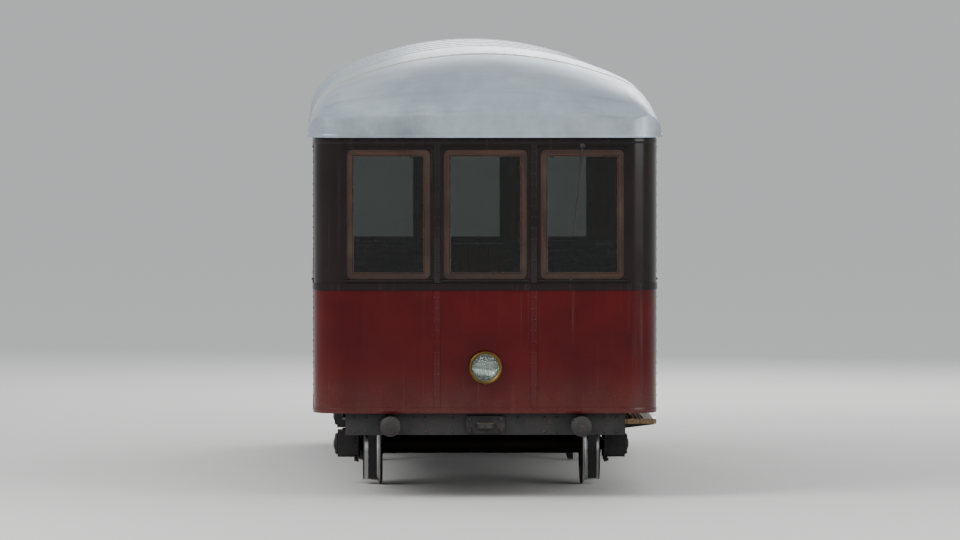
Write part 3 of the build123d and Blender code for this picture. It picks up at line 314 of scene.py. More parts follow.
def pitchPine():
    # Pitch pine, scrubbed: boards 90 mm wide laid lengthwise, pale ridges, dark joints, trodden grey.
    place = startMaterial("pitchPineScrubbed")
    joint, shade = boardsAlong(addNode("SeparateXYZ", place, out="X"), 0.09, 0.04)
    grainPlace = addNode("Mapping", place, Scale=(70, 2.4, 70))
    grain = addNode("TexNoise", grainPlace, Scale=1.0, Detail=6.0, Roughness=0.62, Distortion=0.5)
    tone = addNode("Math", shade, 0.18, grain, mode="MULTIPLY_ADD")
    wood = addNode("ValToRGB", tone, stops=[(0.35, "#54432f"), (0.6, "#80684a"), (0.8, "#a68e6d")])
    paths = addNode("TexNoise", place, Scale=2.5, Detail=5.0)
    path = addNode("MapRange", paths, 0.42, 0.7, 0.0, 0.5, mode="SMOOTHSTEP")
    trodden = addNode("Mix", path, wood, "#59544d", mode="RGBA")
    # faces that look down are darkened nearly to black: painted shade under the car, with some brake dust and
    # oil
    facing = addNode("SeparateXYZ", addNode("NewGeometry", out="Normal"), out="Z")
    shadeAndGrimeBelow = addNode("MapRange", facing, -0.3, -0.7, 0.0, 0.78)
    sooty = addNode("Mix", shadeAndGrimeBelow, trodden, "#26211c", mode="RGBA")
    colour = addNode("Mix", joint, "#17130f", sooty, mode="RGBA")
    raised = addNode("Bump", Strength=0.6, Distance=0.0012, Height=grain)
    relief = addNode("Bump", Distance=0.003, Height=joint, Normal=raised)
    roughness = addNode("MapRange", grain, 0.2, 0.8, 0.6, 0.82)
    return endMaterial(addNode("BsdfPrincipled", colour, Roughness=roughness, Normal=relief))


def sheetGlass(name, tint):
    # Soda-lime glass, drawn in sheets or pressed: tinted with the colour given, slightly wavy, thinly filmed
    # with dust.
    # Light from the lamps passes straight through it.
    place = startMaterial(name)
    clouds = addNode("TexNoise", place, Scale=3.0, Detail=6.0, Roughness=0.65)
    film = addNode("MapRange", clouds, 0.4, 0.85, 0.0, 0.05, mode="SMOOTHSTEP")
    drawn = addNode("TexNoise", addNode("Mapping", place, Scale=(3, 3, 1.2)), Scale=2.0, Detail=1.0)
    wave = addNode("Bump", Strength=0.3, Distance=0.0012, Height=drawn)
    pane = addNode("BsdfPrincipled", tint, 0.0, film, 1.5, Normal=wave, more={"Transmission Weight": 1.0})
    clear = addNode("BsdfTransparent", "#c9cdcb")
    return endMaterial(addNode("MixShader", addNode("LightPath", out="Is Shadow Ray"), pane, clear))


def hammerEnamel():
    # Hammer enamel, stoved: grey-green with dimples of 6 mm, rubbed darker where hands touch.
    place = startMaterial("hammerEnamelStoved")
    cells = addNode("TexVoronoi", place, Scale=170.0, mode="SMOOTH_F1")
    stops = [(0.3, "#46534b"), (0.7, "#5d6a61")]
    colour, roughness = mottled(place, stops, 0.3, 0.45, Scale=6.0, Detail=4.0)[1:]
    dimples = addNode("Bump", Strength=0.6, Distance=0.0009, Height=cells)
    return endMaterial(addNode("BsdfPrincipled", colour, 0.25, roughness, Normal=dimples))


def drawnMetal(name, shades, rough):
    # Metal, drawn and polished: fine lines along the tube, tarnish in patches of 50 to 100 mm.
    place = startMaterial(name)
    lines = addNode("TexNoise", addNode("Mapping", place, Scale=(600, 600, 14)), Scale=1.0, Detail=2.0)
    blotch = addNode("TexNoise", place, Scale=11.0, Detail=5.0)
    colour = addNode("ValToRGB", blotch, stops=[(0.35, shades[0]), (0.7, shades[1])])
    roughness = addNode("Math", blotch, 0.3, rough - 0.08, mode="MULTIPLY_ADD")
    relief = addNode("Bump", Strength=0.3, Distance=0.0002, Height=lines)
    return endMaterial(addNode("BsdfPrincipled", colour, 1.0, roughness, Normal=relief))


def mouldedRubber():
    # Rubber, moulded: dull black with a grey bloom.
    place = startMaterial("rubberMoulded")
    stops = [(0.35, "#121212"), (0.75, "#2b2a29")]
    colour, roughness = mottled(place, stops, 0.65, 0.85, Scale=16.0, Detail=5.0)[1:]
    pores = addNode("TexNoise", place, Scale=500.0, Detail=2.0)
    skin = addNode("Bump", Strength=0.5, Distance=0.0003, Height=pores)
    return endMaterial(addNode("BsdfPrincipled", colour, Roughness=roughness, Normal=skin))


def opalGlass():
    # Opal glass, blown: milky white, soft gloss, a warm tint where it is thick.
    place = startMaterial("opalGlassBlown")
    stops = [(0.3, "#e8e3d4"), (0.7, "#f2efe6")]
    colour, roughness = mottled(place, stops, 0.12, 0.24, Scale=20.0, Detail=3.0)[1:]
    return endMaterial(addNode("BsdfPrincipled", colour, Roughness=roughness,
                               more={"Subsurface Weight": 0.3, "Subsurface Scale": 0.02}))


def studioPaper():
    # Paper, matt: one even off-white, with a tooth of a few millimetres.
    place = startMaterial("backdropPaperMatt")
    tooth = addNode("TexNoise", place, Scale=90.0, Detail=2.0)
    colour = addNode("ValToRGB", tooth, stops=[(0.3, "#dad9d6"), (0.7, "#dcdbd8")])
    return endMaterial(addNode("BsdfPrincipled", colour, Roughness=0.9, more={"Specular IOR Level": 0.1}))


sashRails = [(1.470, 1.5163), (2.0685, 2.1065), (2.3097, 2.356)]
finishes = {
    "body_paint": coachEnamel("coachEnamelBrushed"),
    "roof_paint": aluminiumPaint(),
    "frame_paint": bitumenEnamel(),
    "spring_steel": springSteel(),
    "wheel_steel": wheelSteel(),
    "cast_iron": castIron(),
    "varnished_wood": varnishedTeak("teakVarnishedSash", 2, sashRails),
    "floor_boards": pitchPine(),
    # the window panes' smoky grey tint is painted shade: it darkens the cabin seen through them so the window
    # band reads dark
    "window_glass": sheetGlass("sheetGlassShadeTinted", "#8b8f8d"),
    "desk_paint": hammerEnamel(),
    "rail_steel": drawnMetal("nickelPlatedTube", ("#8b8983", "#a9a7a1"), 0.28),
}
doorEnamel = coachEnamel("coachEnamelOnDoor", 1.075)
endSashTeak = varnishedTeak("teakVarnishedEndSash", 2, [sashRails[0], sashRails[2]])
slatTeak = varnishedTeak("teakVarnishedSlat", 0)
boardTeak = varnishedTeak("teakVarnishedBoard", 1)
lampGlass = sheetGlass("lampGlassPressed", "#e4eae6")
brass = drawnMetal("brassPolished", ("#5f4d30", "#86703f"), 0.26)
mirror = drawnMetal("reflectorSilvered", ("#c9ccce", "#dcdee0"), 0.08)
rubber = mouldedRubber()
opal = opalGlass()
nodeFinishes = {
    "door_downhill": doorEnamel, "door_uphill": doorEnamel, "headlamp_glass": lampGlass,
    "sashes_downhill": endSashTeak, "sashes_uphill": endSashTeak,
}
for part in frame["record"]["subparts"]:
    shown = frame["nodes"][part["node"]]
    shown.data.materials.clear()
    shown.data.materials.append(nodeFinishes.get(part["node"], finishes[part["material_slot"]]))
print("materials made:", len(bpy.data.materials))


def clearSelection():
    bpy.ops.object.select_all(action="DESELECT")


def onlySelect(piece):
    clearSelection()
    piece.select_set(True)
    bpy.context.view_layer.objects.active = piece


def settled():
    # puts the new primitive's place, turn and size into its mesh
    bpy.ops.object.transform_apply(location=True, rotation=True, scale=True)
    return bpy.context.object


def edit(piece, mode, test=lambda *spot: True):
    # opens edit mode with the vertices, edges or faces that pass the test selected
    onlySelect(piece)
    bpy.ops.object.mode_set(mode="EDIT")
    bpy.ops.mesh.select_mode(type=mode)
    bpy.ops.mesh.select_all(action="DESELECT")
    bpy.ops.object.mode_set(mode="OBJECT")
    mesh = piece.data
    if mode == "FACE":
        for face in mesh.polygons:
            face.select = test(face.center, face.normal)
    elif mode == "EDGE":
        for edge in mesh.edges:
            start, end = (mesh.vertices[i].co for i in edge.vertices)
            edge.select = test((start + end) / 2, (end - start).normalized())
    else:
        for vertex in mesh.vertices:
            vertex.select = test(vertex.co)
    bpy.ops.object.mode_set(mode="EDIT")


def endEdit(sealed=False):
    if sealed:
        bpy.ops.mesh.select_all(action="SELECT")
        bpy.ops.mesh.remove_doubles(threshold=0.00002)
        bpy.ops.mesh.normals_make_consistent(inside=False)
    bpy.ops.object.mode_set(mode="OBJECT")


def drawnOut(x, y, z):
    bpy.ops.mesh.extrude_region_move(TRANSFORM_OT_translate={"value": (x, y, z)})


def panelled(piece, test, band, shift):
    # sets the faces that pass the test in from their edges and moves them along the x axis
    edit(piece, "FACE", test)
    bpy.ops.mesh.inset(thickness=band)
    bpy.ops.transform.translate(value=(shift, 0, 0))
    endEdit()
    return piece


def modified(piece, kind, **settings):
    onlySelect(piece)
    modifier = piece.modifiers.new(kind.lower(), kind)
    for key, value in settings.items():
        setattr(modifier, key, value)
    bpy.ops.object.modifier_apply(modifier=modifier.name)
    return piece


def softened(piece, width, segments=2):
    limit = math.radians(35)
    return modified(piece, "BEVEL", width=width, segments=segments, limit_method="ANGLE", angle_limit=limit)


def moved(piece, place, angle=0.0, axis="X"):
    # turned about the origin and then moved
    piece.data.transform(Matrix.Translation(place) @ Matrix.Rotation(angle, 4, axis))
    return piece


def placed(piece, base, towards, lift=0.0):
    # a form made round the z axis, stood on its base and turned its way
    turn = Vector(towards).to_track_quat("Z", "Y").to_matrix().to_4x4()
    piece.data.transform(Matrix.Translation(base) @ turn @ Matrix.Translation((0, 0, lift)))
    return piece


def boxed(low, high, bevel=0.002, segments=2):
    # a bar or plate between two corners, its edges eased
    clearSelection()
    bpy.ops.mesh.primitive_cube_add(size=1, location=[(a + b) / 2 for a, b in zip(low, high)])
    bpy.context.object.scale = [abs(b - a) for a, b in zip(low, high)]
    piece = settled()
    return softened(piece, bevel, segments) if bevel else piece


def turned(base, towards, profile, sides=24, ring=False):
    # a turned form: a disc drawn out step by step, as (distance along, radius). A ring is an open circle that
    # is drawn out round a closed outline.
    clearSelection()
    filling = "NOTHING" if ring else "NGON"
    bpy.ops.mesh.primitive_circle_add(vertices=sides, radius=profile[0][1], fill_type=filling)
    piece = settled()
    edit(piece, "EDGE" if ring else "FACE")
    steps = profile + profile[:1] if ring else profile
    for (d0, r0), (d1, r1) in zip(steps, steps[1:]):
        drawnOut(0, 0, d1 - d0)
        bpy.ops.transform.resize(value=(r1 / r0, r1 / r0, 1), center_override=(0, 0, d1 - profile[0][0]))
    endEdit(True)
    return placed(piece, base, towards, profile[0][0])


def rod(start, end, radius, sides=12):
    # a round bar with eased ends
    way, ease = Vector(end) - Vector(start), radius * 0.25
    long = way.length
    profile = [(0, radius - ease), (ease, radius), (long - ease, radius), (long, radius - ease)]
    return turned(start, way, profile, sides)


def pipe(places, radius, sides=12):
    # a bent pipe: a path through these places, given a round section and made a mesh
    clearSelection()
    bpy.ops.curve.primitive_nurbs_path_add(location=(0, 0, 0))
    line = bpy.context.object.data
    spline = line.splines[0]
    spline.points.add(len(places) - len(spline.points))
    for point, place in zip(spline.points, places):
        point.co = (*place, 1)
    spline.order_u = 3
    spline.use_endpoint_u = True
    line.bevel_depth = radius
    line.bevel_resolution = (sides - 4) // 2
    line.resolution_u = 6
    line.use_fill_caps = True
    bpy.ops.object.convert(target="MESH")
    return settled()


def coil(start, end, radius, wire, turns):
    # a wound spring: one wire section swept round and along by a screw
    way, upright = Vector(end) - Vector(start), (math.pi / 2, 0, 0)
    clearSelection()
    bpy.ops.mesh.primitive_circle_add(vertices=8, radius=wire, location=(radius, 0, 0), rotation=upright)
    piece = modified(settled(), "SCREW", axis="Z", angle=2 * math.pi, screw_offset=way.length / turns,
                     iterations=turns, steps=14, render_steps=14, use_merge_vertices=True)
    edit(piece, "FACE")
    bpy.ops.mesh.fill_holes(sides=0)
    endEdit(True)
    return placed(piece, start, way)


def ringPlate(facing, centre, width, height, band, depth, corner=0.0, bevel=0.0015):
    # a flat frame: a plate with its middle inset and deleted, drawn out to its depth along the way it faces
    clearSelection()
    bpy.ops.mesh.primitive_plane_add(size=1)
    bpy.context.object.scale = (width, height, 1)
    piece = settled()
    if corner:
        edit(piece, "VERT")
        bpy.ops.mesh.bevel(offset=corner, offset_type="OFFSET", segments=6, affect="VERTICES")
        endEdit()
    edit(piece, "FACE")
    bpy.ops.mesh.inset(thickness=band)
    bpy.ops.mesh.delete(type="FACE")
    bpy.ops.mesh.select_all(action="SELECT")
    drawnOut(0, 0, depth)
    endEdit(True)
    if bevel:
        softened(piece, bevel)
    # local x runs along the wall, local y upwards, local z the way that it faces
    outward = Vector(facing)
    upward = Vector((0, 1, 0)) if facing[2] else Vector((0, 0, 1))
    turn = Matrix((upward.cross(outward), upward, outward)).transposed().to_4x4()
    piece.data.transform(Matrix.Translation(centre) @ turn)
    return piece


def twin(piece):
    # a copy with a mesh of its own
    made = piece.copy()
    made.data = piece.data.copy()
    bpy.context.collection.objects.link(made)
    return made


def boltHead(across, height):
    # one hexagon head with its chamfer and washer, at the origin
    profile = [(0, 0.62), (0.14, 0.62), (0.15, 0.5), (0.85, 0.5), (1, 0.42)]
    return turned((0, 0, 0), (0, 0, 1), [(height * d, across * r) for d, r in profile], 6)


def rivetHead(radius, height):
    # one cup head at the origin
    profile = [(0, radius), (height * 0.55, radius * 0.8), (height, radius * 0.4)]
    return turned((0, 0, 0), (0, 0, 1), profile, 8)


def sown(head, spots):
    # a copy of one head at each place, standing on the surface there
    made = [placed(twin(head), place, way) for place, way in spots]
    bpy.data.objects.remove(head)
    return made


def finished(name, parts, slot, finish=None, body="carbody", smooth=35):
    clearSelection()
    for part in parts:
        part.select_set(True)
    bpy.context.view_layer.objects.active = parts[0]
    if len(parts) > 1:
        bpy.ops.object.join()
    piece = bpy.context.view_layer.objects.active
    piece.name = name
    piece.data.name = name
    onlySelect(piece)
    bpy.ops.object.shade_smooth_by_angle(angle=math.radians(smooth))
    piece.data.materials.clear()
    piece.data.materials.append(finish or finishes[slot])
    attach(piece, body)
    return piece


# roof: welted seams, ribs under the ceiling down to just over the doors, and a gutter along the eaves
roofTrim = {"seamHalf": 0.017, "seamProud": 0.003, "seamFoot": 2.0, "ribHalf": 0.0225, "ribDeep": 0.020,
            "ribFoot": 2.482, "gutterWide": 2.392, "gutterLong": 7.092, "gutterCorner": 0.246,
            "gutterBand": 0.010, "gutterHigh": 0.022, "domeFrom": 2.3, "core": 1.8, "flatness": 1.4}
eaveLine = car["eave"] + 0.0006
skin = twin(frame["nodes"]["roof"])
skin.parent = None
skin.name = "roofSkin"
edit(skin, "FACE")
bpy.ops.mesh.remove_doubles(threshold=0.00005)
endEdit()


def onOuterSkin(c, n):
    # the outer faces of the shell, above the eave line, look away from a core line that runs along the car
    endwards = n.y * max(abs(c.y) - roofTrim["domeFrom"], 0) * math.copysign(1, c.y)
    outwards = n.x * c.x / roofTrim["flatness"] + endwards + n.z * (c.z - roofTrim["core"])
    return outwards > 0 and c.z > eaveLine


def onInnerSkin(c, n):
    return not onOuterSkin(c, n) and c.z > eaveLine


def skinStrip(y, half, foot, keep, depth):
    # the skin between two cuts across the car and over its foot, given a thickness outwards
    strip = twin(skin)
    edit(strip, "FACE", keep)
    bpy.ops.mesh.select_all(action="INVERT")
    bpy.ops.mesh.delete(type="FACE")
    cuts = [((0, y - half, 0), (0, 1, 0)), ((0, y + half, 0), (0, -1, 0)), ((0, 0, foot), (0, 0, 1))]
    for place, normal in cuts:
        bpy.ops.mesh.select_all(action="SELECT")
        bpy.ops.mesh.bisect(plane_co=place, plane_no=normal, clear_inner=True)
    endEdit()
    return modified(strip, "SOLIDIFY", thickness=depth, offset=1.0)


seams = [skinStrip(y, roofTrim["seamHalf"], roofTrim["seamFoot"], onOuterSkin, roofTrim["seamProud"])
         for y in leftBays]
ribs = [skinStrip(y, roofTrim["ribHalf"], roofTrim["ribFoot"], onInnerSkin, roofTrim["ribDeep"])
        for y in posts[1:-1]]
bpy.data.objects.remove(skin)
gutter = ringPlate((0, 0, 1), (0, 0, car["eave"]), roofTrim["gutterWide"], roofTrim["gutterLong"],
                   roofTrim["gutterBand"], roofTrim["gutterHigh"], roofTrim["gutterCorner"])
finished("roof_seams", seams, "roof_paint")
finished("roof_ribs", ribs, "varnished_wood", slatTeak)
finished("roof_gutter", [gutter], "roof_paint")
print("roof trim made")

# body: bands round the car and cover strips on the posts
bodyTrim = {"bandProud": 0.005, "skirtHigh": 0.036, "cantLow": 2.388, "cantHigh": 0.032, "stripHalf": 0.021,
            "stripProud": 0.004, "waistGap": 0.022, "sink": 0.002}
bands, strips = [], []
halfWide, proud = bodyTrim["stripHalf"], bodyTrim["bandProud"]
wide, long = 2 * (car["halfWidth"] + proud), 2 * (car["halfLength"] + proud)
for low, high in ((car["skirt"], bodyTrim["skirtHigh"]), (bodyTrim["cantLow"], bodyTrim["cantHigh"])):
    bands.append(ringPlate((0, 0, 1), (0, 0, low), wide, long, proud + bodyTrim["sink"], high,
                           car["cornerRadius"] + proud, 0.0012))
for low, high in ((car["skirt"] + bodyTrim["skirtHigh"], car["waist"] - bodyTrim["waistGap"]),
                  (car["waist"] + bodyTrim["waistGap"], bodyTrim["cantLow"])):
    for hand in signs:
        inner, outer = (hand * (car["halfWidth"] + d) for d in (-bodyTrim["sink"], bodyTrim["stripProud"]))
        strips += [boxed((inner, y - halfWide, low), (outer, y + halfWide, high), 0.0015) for y in posts]
        inner, outer = (hand * (car["halfLength"] + d) for d in (-bodyTrim["sink"], bodyTrim["stripProud"]))
        strips += [boxed((x - halfWide, inner, low), (x + halfWide, outer, high), 0.0015) for x in endPosts]
finished("body_bands", bands, "body_paint")
finished("post_strips", strips, "body_paint")

# window sills, drip mouldings and glazing beads
windowTrim = {"sillDeep": 0.016, "sillHigh": 0.014, "over": 0.018, "dripDeep": 0.012, "dripHigh": 0.010,
              "dripUp": 0.008, "bead": 0.009, "beadDeep": 0.006, "stiles": 0.0766}
sidePanes, endPanes = [(1.5163, 2.0685), (2.1065, 2.3097)], [(1.5163, 2.3097)]
sashWalls = [
    # wall name, facing, wall face, the pane's outer face, middles, window width, panes as low and high
    ("left", (-1, 0, 0), car["halfWidth"], 1.130, leftBays, 0.78, sidePanes),
    ("right", (1, 0, 0), car["halfWidth"], 1.130, rightBays, 0.78, sidePanes),
    ("downhill", (0, -1, 0), car["halfLength"], 3.480, endBays, 0.56, endPanes),
    ("uphill", (0, 1, 0), car["halfLength"], 3.480, endBays, 0.56, endPanes),
]
dripLow = car["windowTop"] + windowTrim["dripUp"]
ledgeRows = [("sills", car["sill"] - windowTrim["sillHigh"], car["sill"], windowTrim["sillDeep"]),
             ("drips", dripLow, dripLow + windowTrim["dripHigh"], windowTrim["dripDeep"])]
ledges = {"sills": [], "drips": []}
for wall, facing, wallFace, paneFace, middles, width, panes in sashWalls:
    way = Vector(facing)
    reach = way.cross((0, 0, 1)) * (width / 2 + windowTrim["over"])
    beads = []
    for middle in middles:
        centre = Vector((0, middle, 0)) if facing[0] else Vector((middle, 0, 0))
        for low, high in panes:
            beads.append(ringPlate(facing, centre + way * paneFace + Vector((0, 0, (low + high) / 2)),
                                   width - windowTrim["stiles"], high - low, windowTrim["bead"],
                                   windowTrim["beadDeep"], 0, 0.0012))
        for kind, low, high, deep in ledgeRows:
            ledge = boxed(centre + way * (wallFace - 0.004) - reach + Vector((0, 0, low)),
                          centre + way * (wallFace + deep) + reach + Vector((0, 0, high)), 0)
            edit(ledge, "EDGE", lambda c, d: c.z > high - 0.001 and c.dot(way) > wallFace + deep - 0.001)
            bpy.ops.mesh.bevel(offset=min(deep, high - low) * 0.6, segments=3, affect="EDGES")
            endEdit()
            ledges[kind].append(ledge)
    finished("window_beads_" + wall, beads, "varnished_wood", boardTeak if facing[0] else slatTeak)
finished("window_sills", ledges["sills"], "body_paint")
finished("window_drips", ledges["drips"], "body_paint")
print("body trim made")

# benches: slats on bent straps in place of the plain seat boards
bench = {"slats": 5, "thick": 0.020, "ease": 0.005, "deep": 0.4, "seatWide": 0.068, "seatTop": 0.43,
         "seatDrop": 0.015, "backWide": 0.0548, "backRun": 0.37, "backFoot": 0.045,
         "lean": math.atan2(0.07, 0.405), "strap": 0.015}
rightRows = [(-0.56, 0.25, 1.03), (0.44, 0.25, 1.03), (2.56, 0.25, 1.085)]
benches = [(-2.56 + i, -1.085, -0.18) for i in range(6)] + rightRows
seatTop = car["floorTop"] + bench["seatTop"]
seatBack = seatTop - bench["seatDrop"]
slats, straps = [], []
for front, low, high in benches:
    back = front + bench["deep"] + 0.006
    for i in range(bench["slats"]):
        share = (i + 0.5) / bench["slats"]
        y, z = front + bench["deep"] * share, seatTop - bench["seatDrop"] * share
        half = bench["seatWide"] / 2
        slats.append(boxed((low, y - half, z - bench["thick"]), (high, y + half, z), bench["ease"]))
        half, up = bench["backWide"] / 2, bench["backFoot"] + bench["backRun"] * share
        plank = boxed((low, -bench["thick"] / 2, -half), (high, bench["thick"] / 2, half), bench["ease"])
        slats.append(moved(plank, (0, back + up * math.tan(bench["lean"]), seatBack + up), -bench["lean"]))
    for x in (low + 0.09, high - 0.09):
        left, right = x - bench["strap"], x + bench["strap"]
        seatStrap = boxed((left, front + 0.008, seatTop - 0.0275),
                          (right, front + 0.41, seatTop - 0.0205), 0.001)
        edit(seatStrap, "VERT", lambda v: v.y > front + 0.3)
        bpy.ops.transform.translate(value=(0, 0, -bench["seatDrop"]))
        endEdit()
        backStrap = boxed((left, 0.010, -0.02), (right, 0.018, bench["backRun"] + 0.03), 0.001)
        straps += [seatStrap, moved(backStrap, (0, back, seatBack), -bench["lean"])]
benchSlats = finished("bench_slats", slats, "varnished_wood", slatTeak)
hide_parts("bench_seats")
finished("bench_straps", straps, "cast_iron")
print("benches made")

# rivets: along the skirt, the eaves, the post strips and the roof seams
rivets = {"radius": 0.0065, "high": 0.0035, "step": 0.0775, "pair": 0.012, "roofStep": 0.07,
          "underWaist": (0.65, 1.39), "overWaist": (1.49, 2.37)}
spots, roofSpots = [], []
sideFace, endFace = car["halfWidth"] + bodyTrim["bandProud"], car["halfLength"] + bodyTrim["bandProud"]
for z in (car["skirt"] + bodyTrim["skirtHigh"] / 2, bodyTrim["cantLow"] + bodyTrim["cantHigh"] / 2):
    for hand in signs:
        spots += [((hand * sideFace, i * rivets["step"], z), (hand, 0, 0)) for i in range(-42, 43)]
        spots += [((i * rivets["step"], hand * endFace, z), (0, hand, 0)) for i in range(-12, 13)]
sideFace, endFace = car["halfWidth"] + bodyTrim["stripProud"], car["halfLength"] + bodyTrim["stripProud"]
for low, high in (rivets["underWaist"], rivets["overWaist"]):
    count = int((high - low) / rivets["step"]) + 1
    for z in (low + (i + 0.5) * (high - low) / count for i in range(count)):
        for hand, side in corners:
            spots += [((hand * sideFace, y + side * rivets["pair"], z), (hand, 0, 0)) for y in posts]
            spots += [((x + side * rivets["pair"], hand * endFace, z), (0, hand, 0)) for x in endPosts]
for y in leftBays:
    for i in range(-16, 17):
        hit, place, way, face = frame["nodes"]["roof"].ray_cast((i * rivets["roofStep"], y, 4.0), (0, 0, -1))
        if hit:
            roofSpots.append((place + way * (roofTrim["seamProud"] - 0.0005), way))
finished("body_rivets", sown(rivetHead(rivets["radius"], rivets["high"]), spots), "body_paint", smooth=60)
finished("roof_rivets", sown(rivetHead(0.006, 0.003), roofSpots), "roof_paint", smooth=60)
print("rivets set:", len(spots) + len(roofSpots))

# doors: glazing beads, panel mouldings with boards inside, kick plates, flush pulls outside, bars inside
door = {"outer": 1.092, "inner": 1.058, "paneWide": 0.5994, "paneHigh": 0.7494, "paneMid": 1.913,
        "corner": 0.0397, "panelMid": 1.118, "panelWide": 0.599, "panelHigh": 0.659, "boards": 0.2829,
        "boardHalf": 0.3135, "boardWide": 0.070, "boardBack": 1.0625, "boardFace": 1.067, "halfGap": 0.0015,
        "stile": 0.345, "plate": 0.385, "plateLow": 0.706, "plateHigh": 0.782, "plateThick": 0.0025,
        "pullLow": 1.265, "pullHigh": 1.405, "bar": 1.024, "barLow": 1.20, "barHigh": 1.40}
keyholeProfile = [(0, 0.014), (0.0025, 0.014), (0.0035, 0.012), (0.0037, 0.005), (0.0015, 0.004)]
barPlaces = [(door["inner"], door["barLow"]), (1.030, door["barLow"]), (door["bar"], 1.215),
             (door["bar"], 1.30), (door["bar"], 1.385), (1.030, door["barHigh"]),
             (door["inner"], door["barHigh"])]
for body, middle, lead in (("door_downhill", -1.86, -1), ("door_uphill", 1.86, 1)):
    beads, mouldings, heads = [], [], []
    for hand, glassFace, panelFace in ((1, 1.078, 1.084), (-1, 1.072, 1.066)):
        beads.append(ringPlate((hand, 0, 0), (glassFace, middle, door["paneMid"]), door["paneWide"],
                               door["paneHigh"], 0.010, 0.010, door["corner"]))
        mouldings.append(ringPlate((hand, 0, 0), (panelFace, middle, door["panelMid"]), door["panelWide"],
                                   door["panelHigh"], 0.016, 0.006, 0, 0.0024))
    first, last = (round((middle + reach) / door["boardWide"]) for reach in (-0.28, 0.28))
    for i in range(first, last):
        low = max(i * door["boardWide"], middle - door["boards"]) + door["halfGap"]
        high = min((i + 1) * door["boardWide"], middle + door["boards"]) - door["halfGap"]
        mouldings.append(boxed((door["boardBack"], low, door["panelMid"] - door["boardHalf"]),
                               (door["boardFace"], high, door["panelMid"] + door["boardHalf"]), 0.0015))
    stile, face = middle + lead * door["stile"], door["outer"] - 0.001
    kickFace = face + door["plateThick"]
    kick = boxed((face, middle - door["plate"], door["plateLow"]),
                 (kickFace, middle + door["plate"], door["plateHigh"]), 0.0006)
    for z in (door["plateLow"] + 0.010, door["plateHigh"] - 0.010):
        heads += [((kickFace, middle + i * 0.092, z), (1, 0, 0)) for i in range(-4, 5)]
    pull = boxed((face, stile - 0.020, door["pullLow"]),
                 (face + 0.0038, stile + 0.020, door["pullHigh"]), 0.0008)
    edit(pull, "FACE", lambda c, n: n.x > 0.9 and c.x > door["outer"] + 0.002)
    bpy.ops.mesh.inset(thickness=0.007)
    bpy.ops.transform.translate(value=(-0.0022, 0, 0))
    bpy.ops.mesh.inset(thickness=0.003)
    endEdit()
    keyhole = turned((face, stile, 1.215), (1, 0, 0), keyholeProfile, 20)
    bar = pipe([(x, stile, z) for x, z in barPlaces], 0.008)
    roses = [turned((door["inner"] + 0.001, stile, z), (-1, 0, 0),
                    [(0, 0.020), (0.004, 0.020), (0.008, 0.012)], 20)
             for z in (door["barLow"], door["barHigh"])]
    finished(body + "_beads", beads, "varnished_wood", boardTeak, body)
    finished(body + "_mouldings", mouldings, "body_paint", doorEnamel, body)
    finished(body + "_kick_plate", [kick] + sown(rivetHead(0.004, 0.0015), heads), "rail_steel", body=body)
    finished(body + "_handles", [pull, keyhole, bar] + roses, "rail_steel", brass, body)

# doorways: jambs, ribbed thresholds, and the roses and domed ends of the grab rails
doorway = {"wide": 0.824, "tall": 1.702, "middle": 1.519, "jamb": 0.022, "proud": 0.004, "tread": 0.389,
           "inner": 1.0945, "outer": 1.1535, "ribX": 1.104, "ribStep": 0.0105, "ribHalf": 0.002,
           "railOff": 0.465, "railX": 1.176, "railRoses": (0.85, 2.158), "railEnds": (0.8102, 2.1978)}
roseProfile = [(0, 0.026), (0.003, 0.026), (0.007, 0.019), (0.010, 0.0115)]
knobProfile = [(-0.012, 0.0142), (-0.002, 0.0142), (0.004, 0.0115), (0.007, 0.006)]
jambs, treads, roses, knobs = [], [], [], []
for middle in doorBays:
    jambs.append(ringPlate((1, 0, 0), (1.149, middle, doorway["middle"]), doorway["wide"], doorway["tall"],
                           doorway["jamb"], doorway["proud"], 0, 0.0012))
    treads.append(boxed((doorway["inner"], middle - doorway["tread"], 0.6895),
                        (doorway["outer"], middle + doorway["tread"], 0.6928), 0.0008))
    for x in (doorway["ribX"] + i * doorway["ribStep"] for i in range(5)):
        treads.append(boxed((x - doorway["ribHalf"], middle - 0.375, 0.692),
                            (x + doorway["ribHalf"], middle + 0.375, 0.6948), 0.0009))
    for y in (middle - doorway["railOff"], middle + doorway["railOff"]):
        roses += [turned((doorway["outer"], y, z), (1, 0, 0), roseProfile) for z in doorway["railRoses"]]
        knobs += [turned((doorway["railX"], y, z), (0, 0, way), knobProfile)
                  for z, way in zip(doorway["railEnds"], signs)]
finished("doorway_jambs", jambs, "body_paint")
finished("doorway_thresholds", treads, "rail_steel")
finished("grab_rail_ends", roses + knobs, "rail_steel", brass)

# headlamps: reflector bowl, bulb, rim with its screws and a ribbed lens, at both ends
lamp = {"height": 0.888, "rimScrew": 0.1085, "screwOut": 3.557, "ribOut": 3.5565, "ribStep": 0.0115,
        "lens": 0.086}
bowlProfile = [(0.0135, 0.010), (0.0155, 0.039), (0.024, 0.062), (0.037, 0.084), (0.0505, 0.0885),
               (0.0505, 0.0865), (0.038, 0.0815), (0.026, 0.060), (0.0175, 0.038), (0.0165, 0.010)]
bulbProfile = [(0.016, 0.0085), (0.024, 0.0085), (0.028, 0.012), (0.036, 0.0145), (0.043, 0.011),
               (0.046, 0.004)]
rimProfile = [(0.050, 0.1045), (0.050, 0.109), (0.064, 0.109), (0.069, 0.104), (0.069, 0.096),
              (0.064, 0.0905), (0.0585, 0.0905), (0.0585, 0.0925), (0.062, 0.095), (0.062, 0.1045)]
bowls, bulbs, rims, lensRibs, heads = [], [], [], [], []
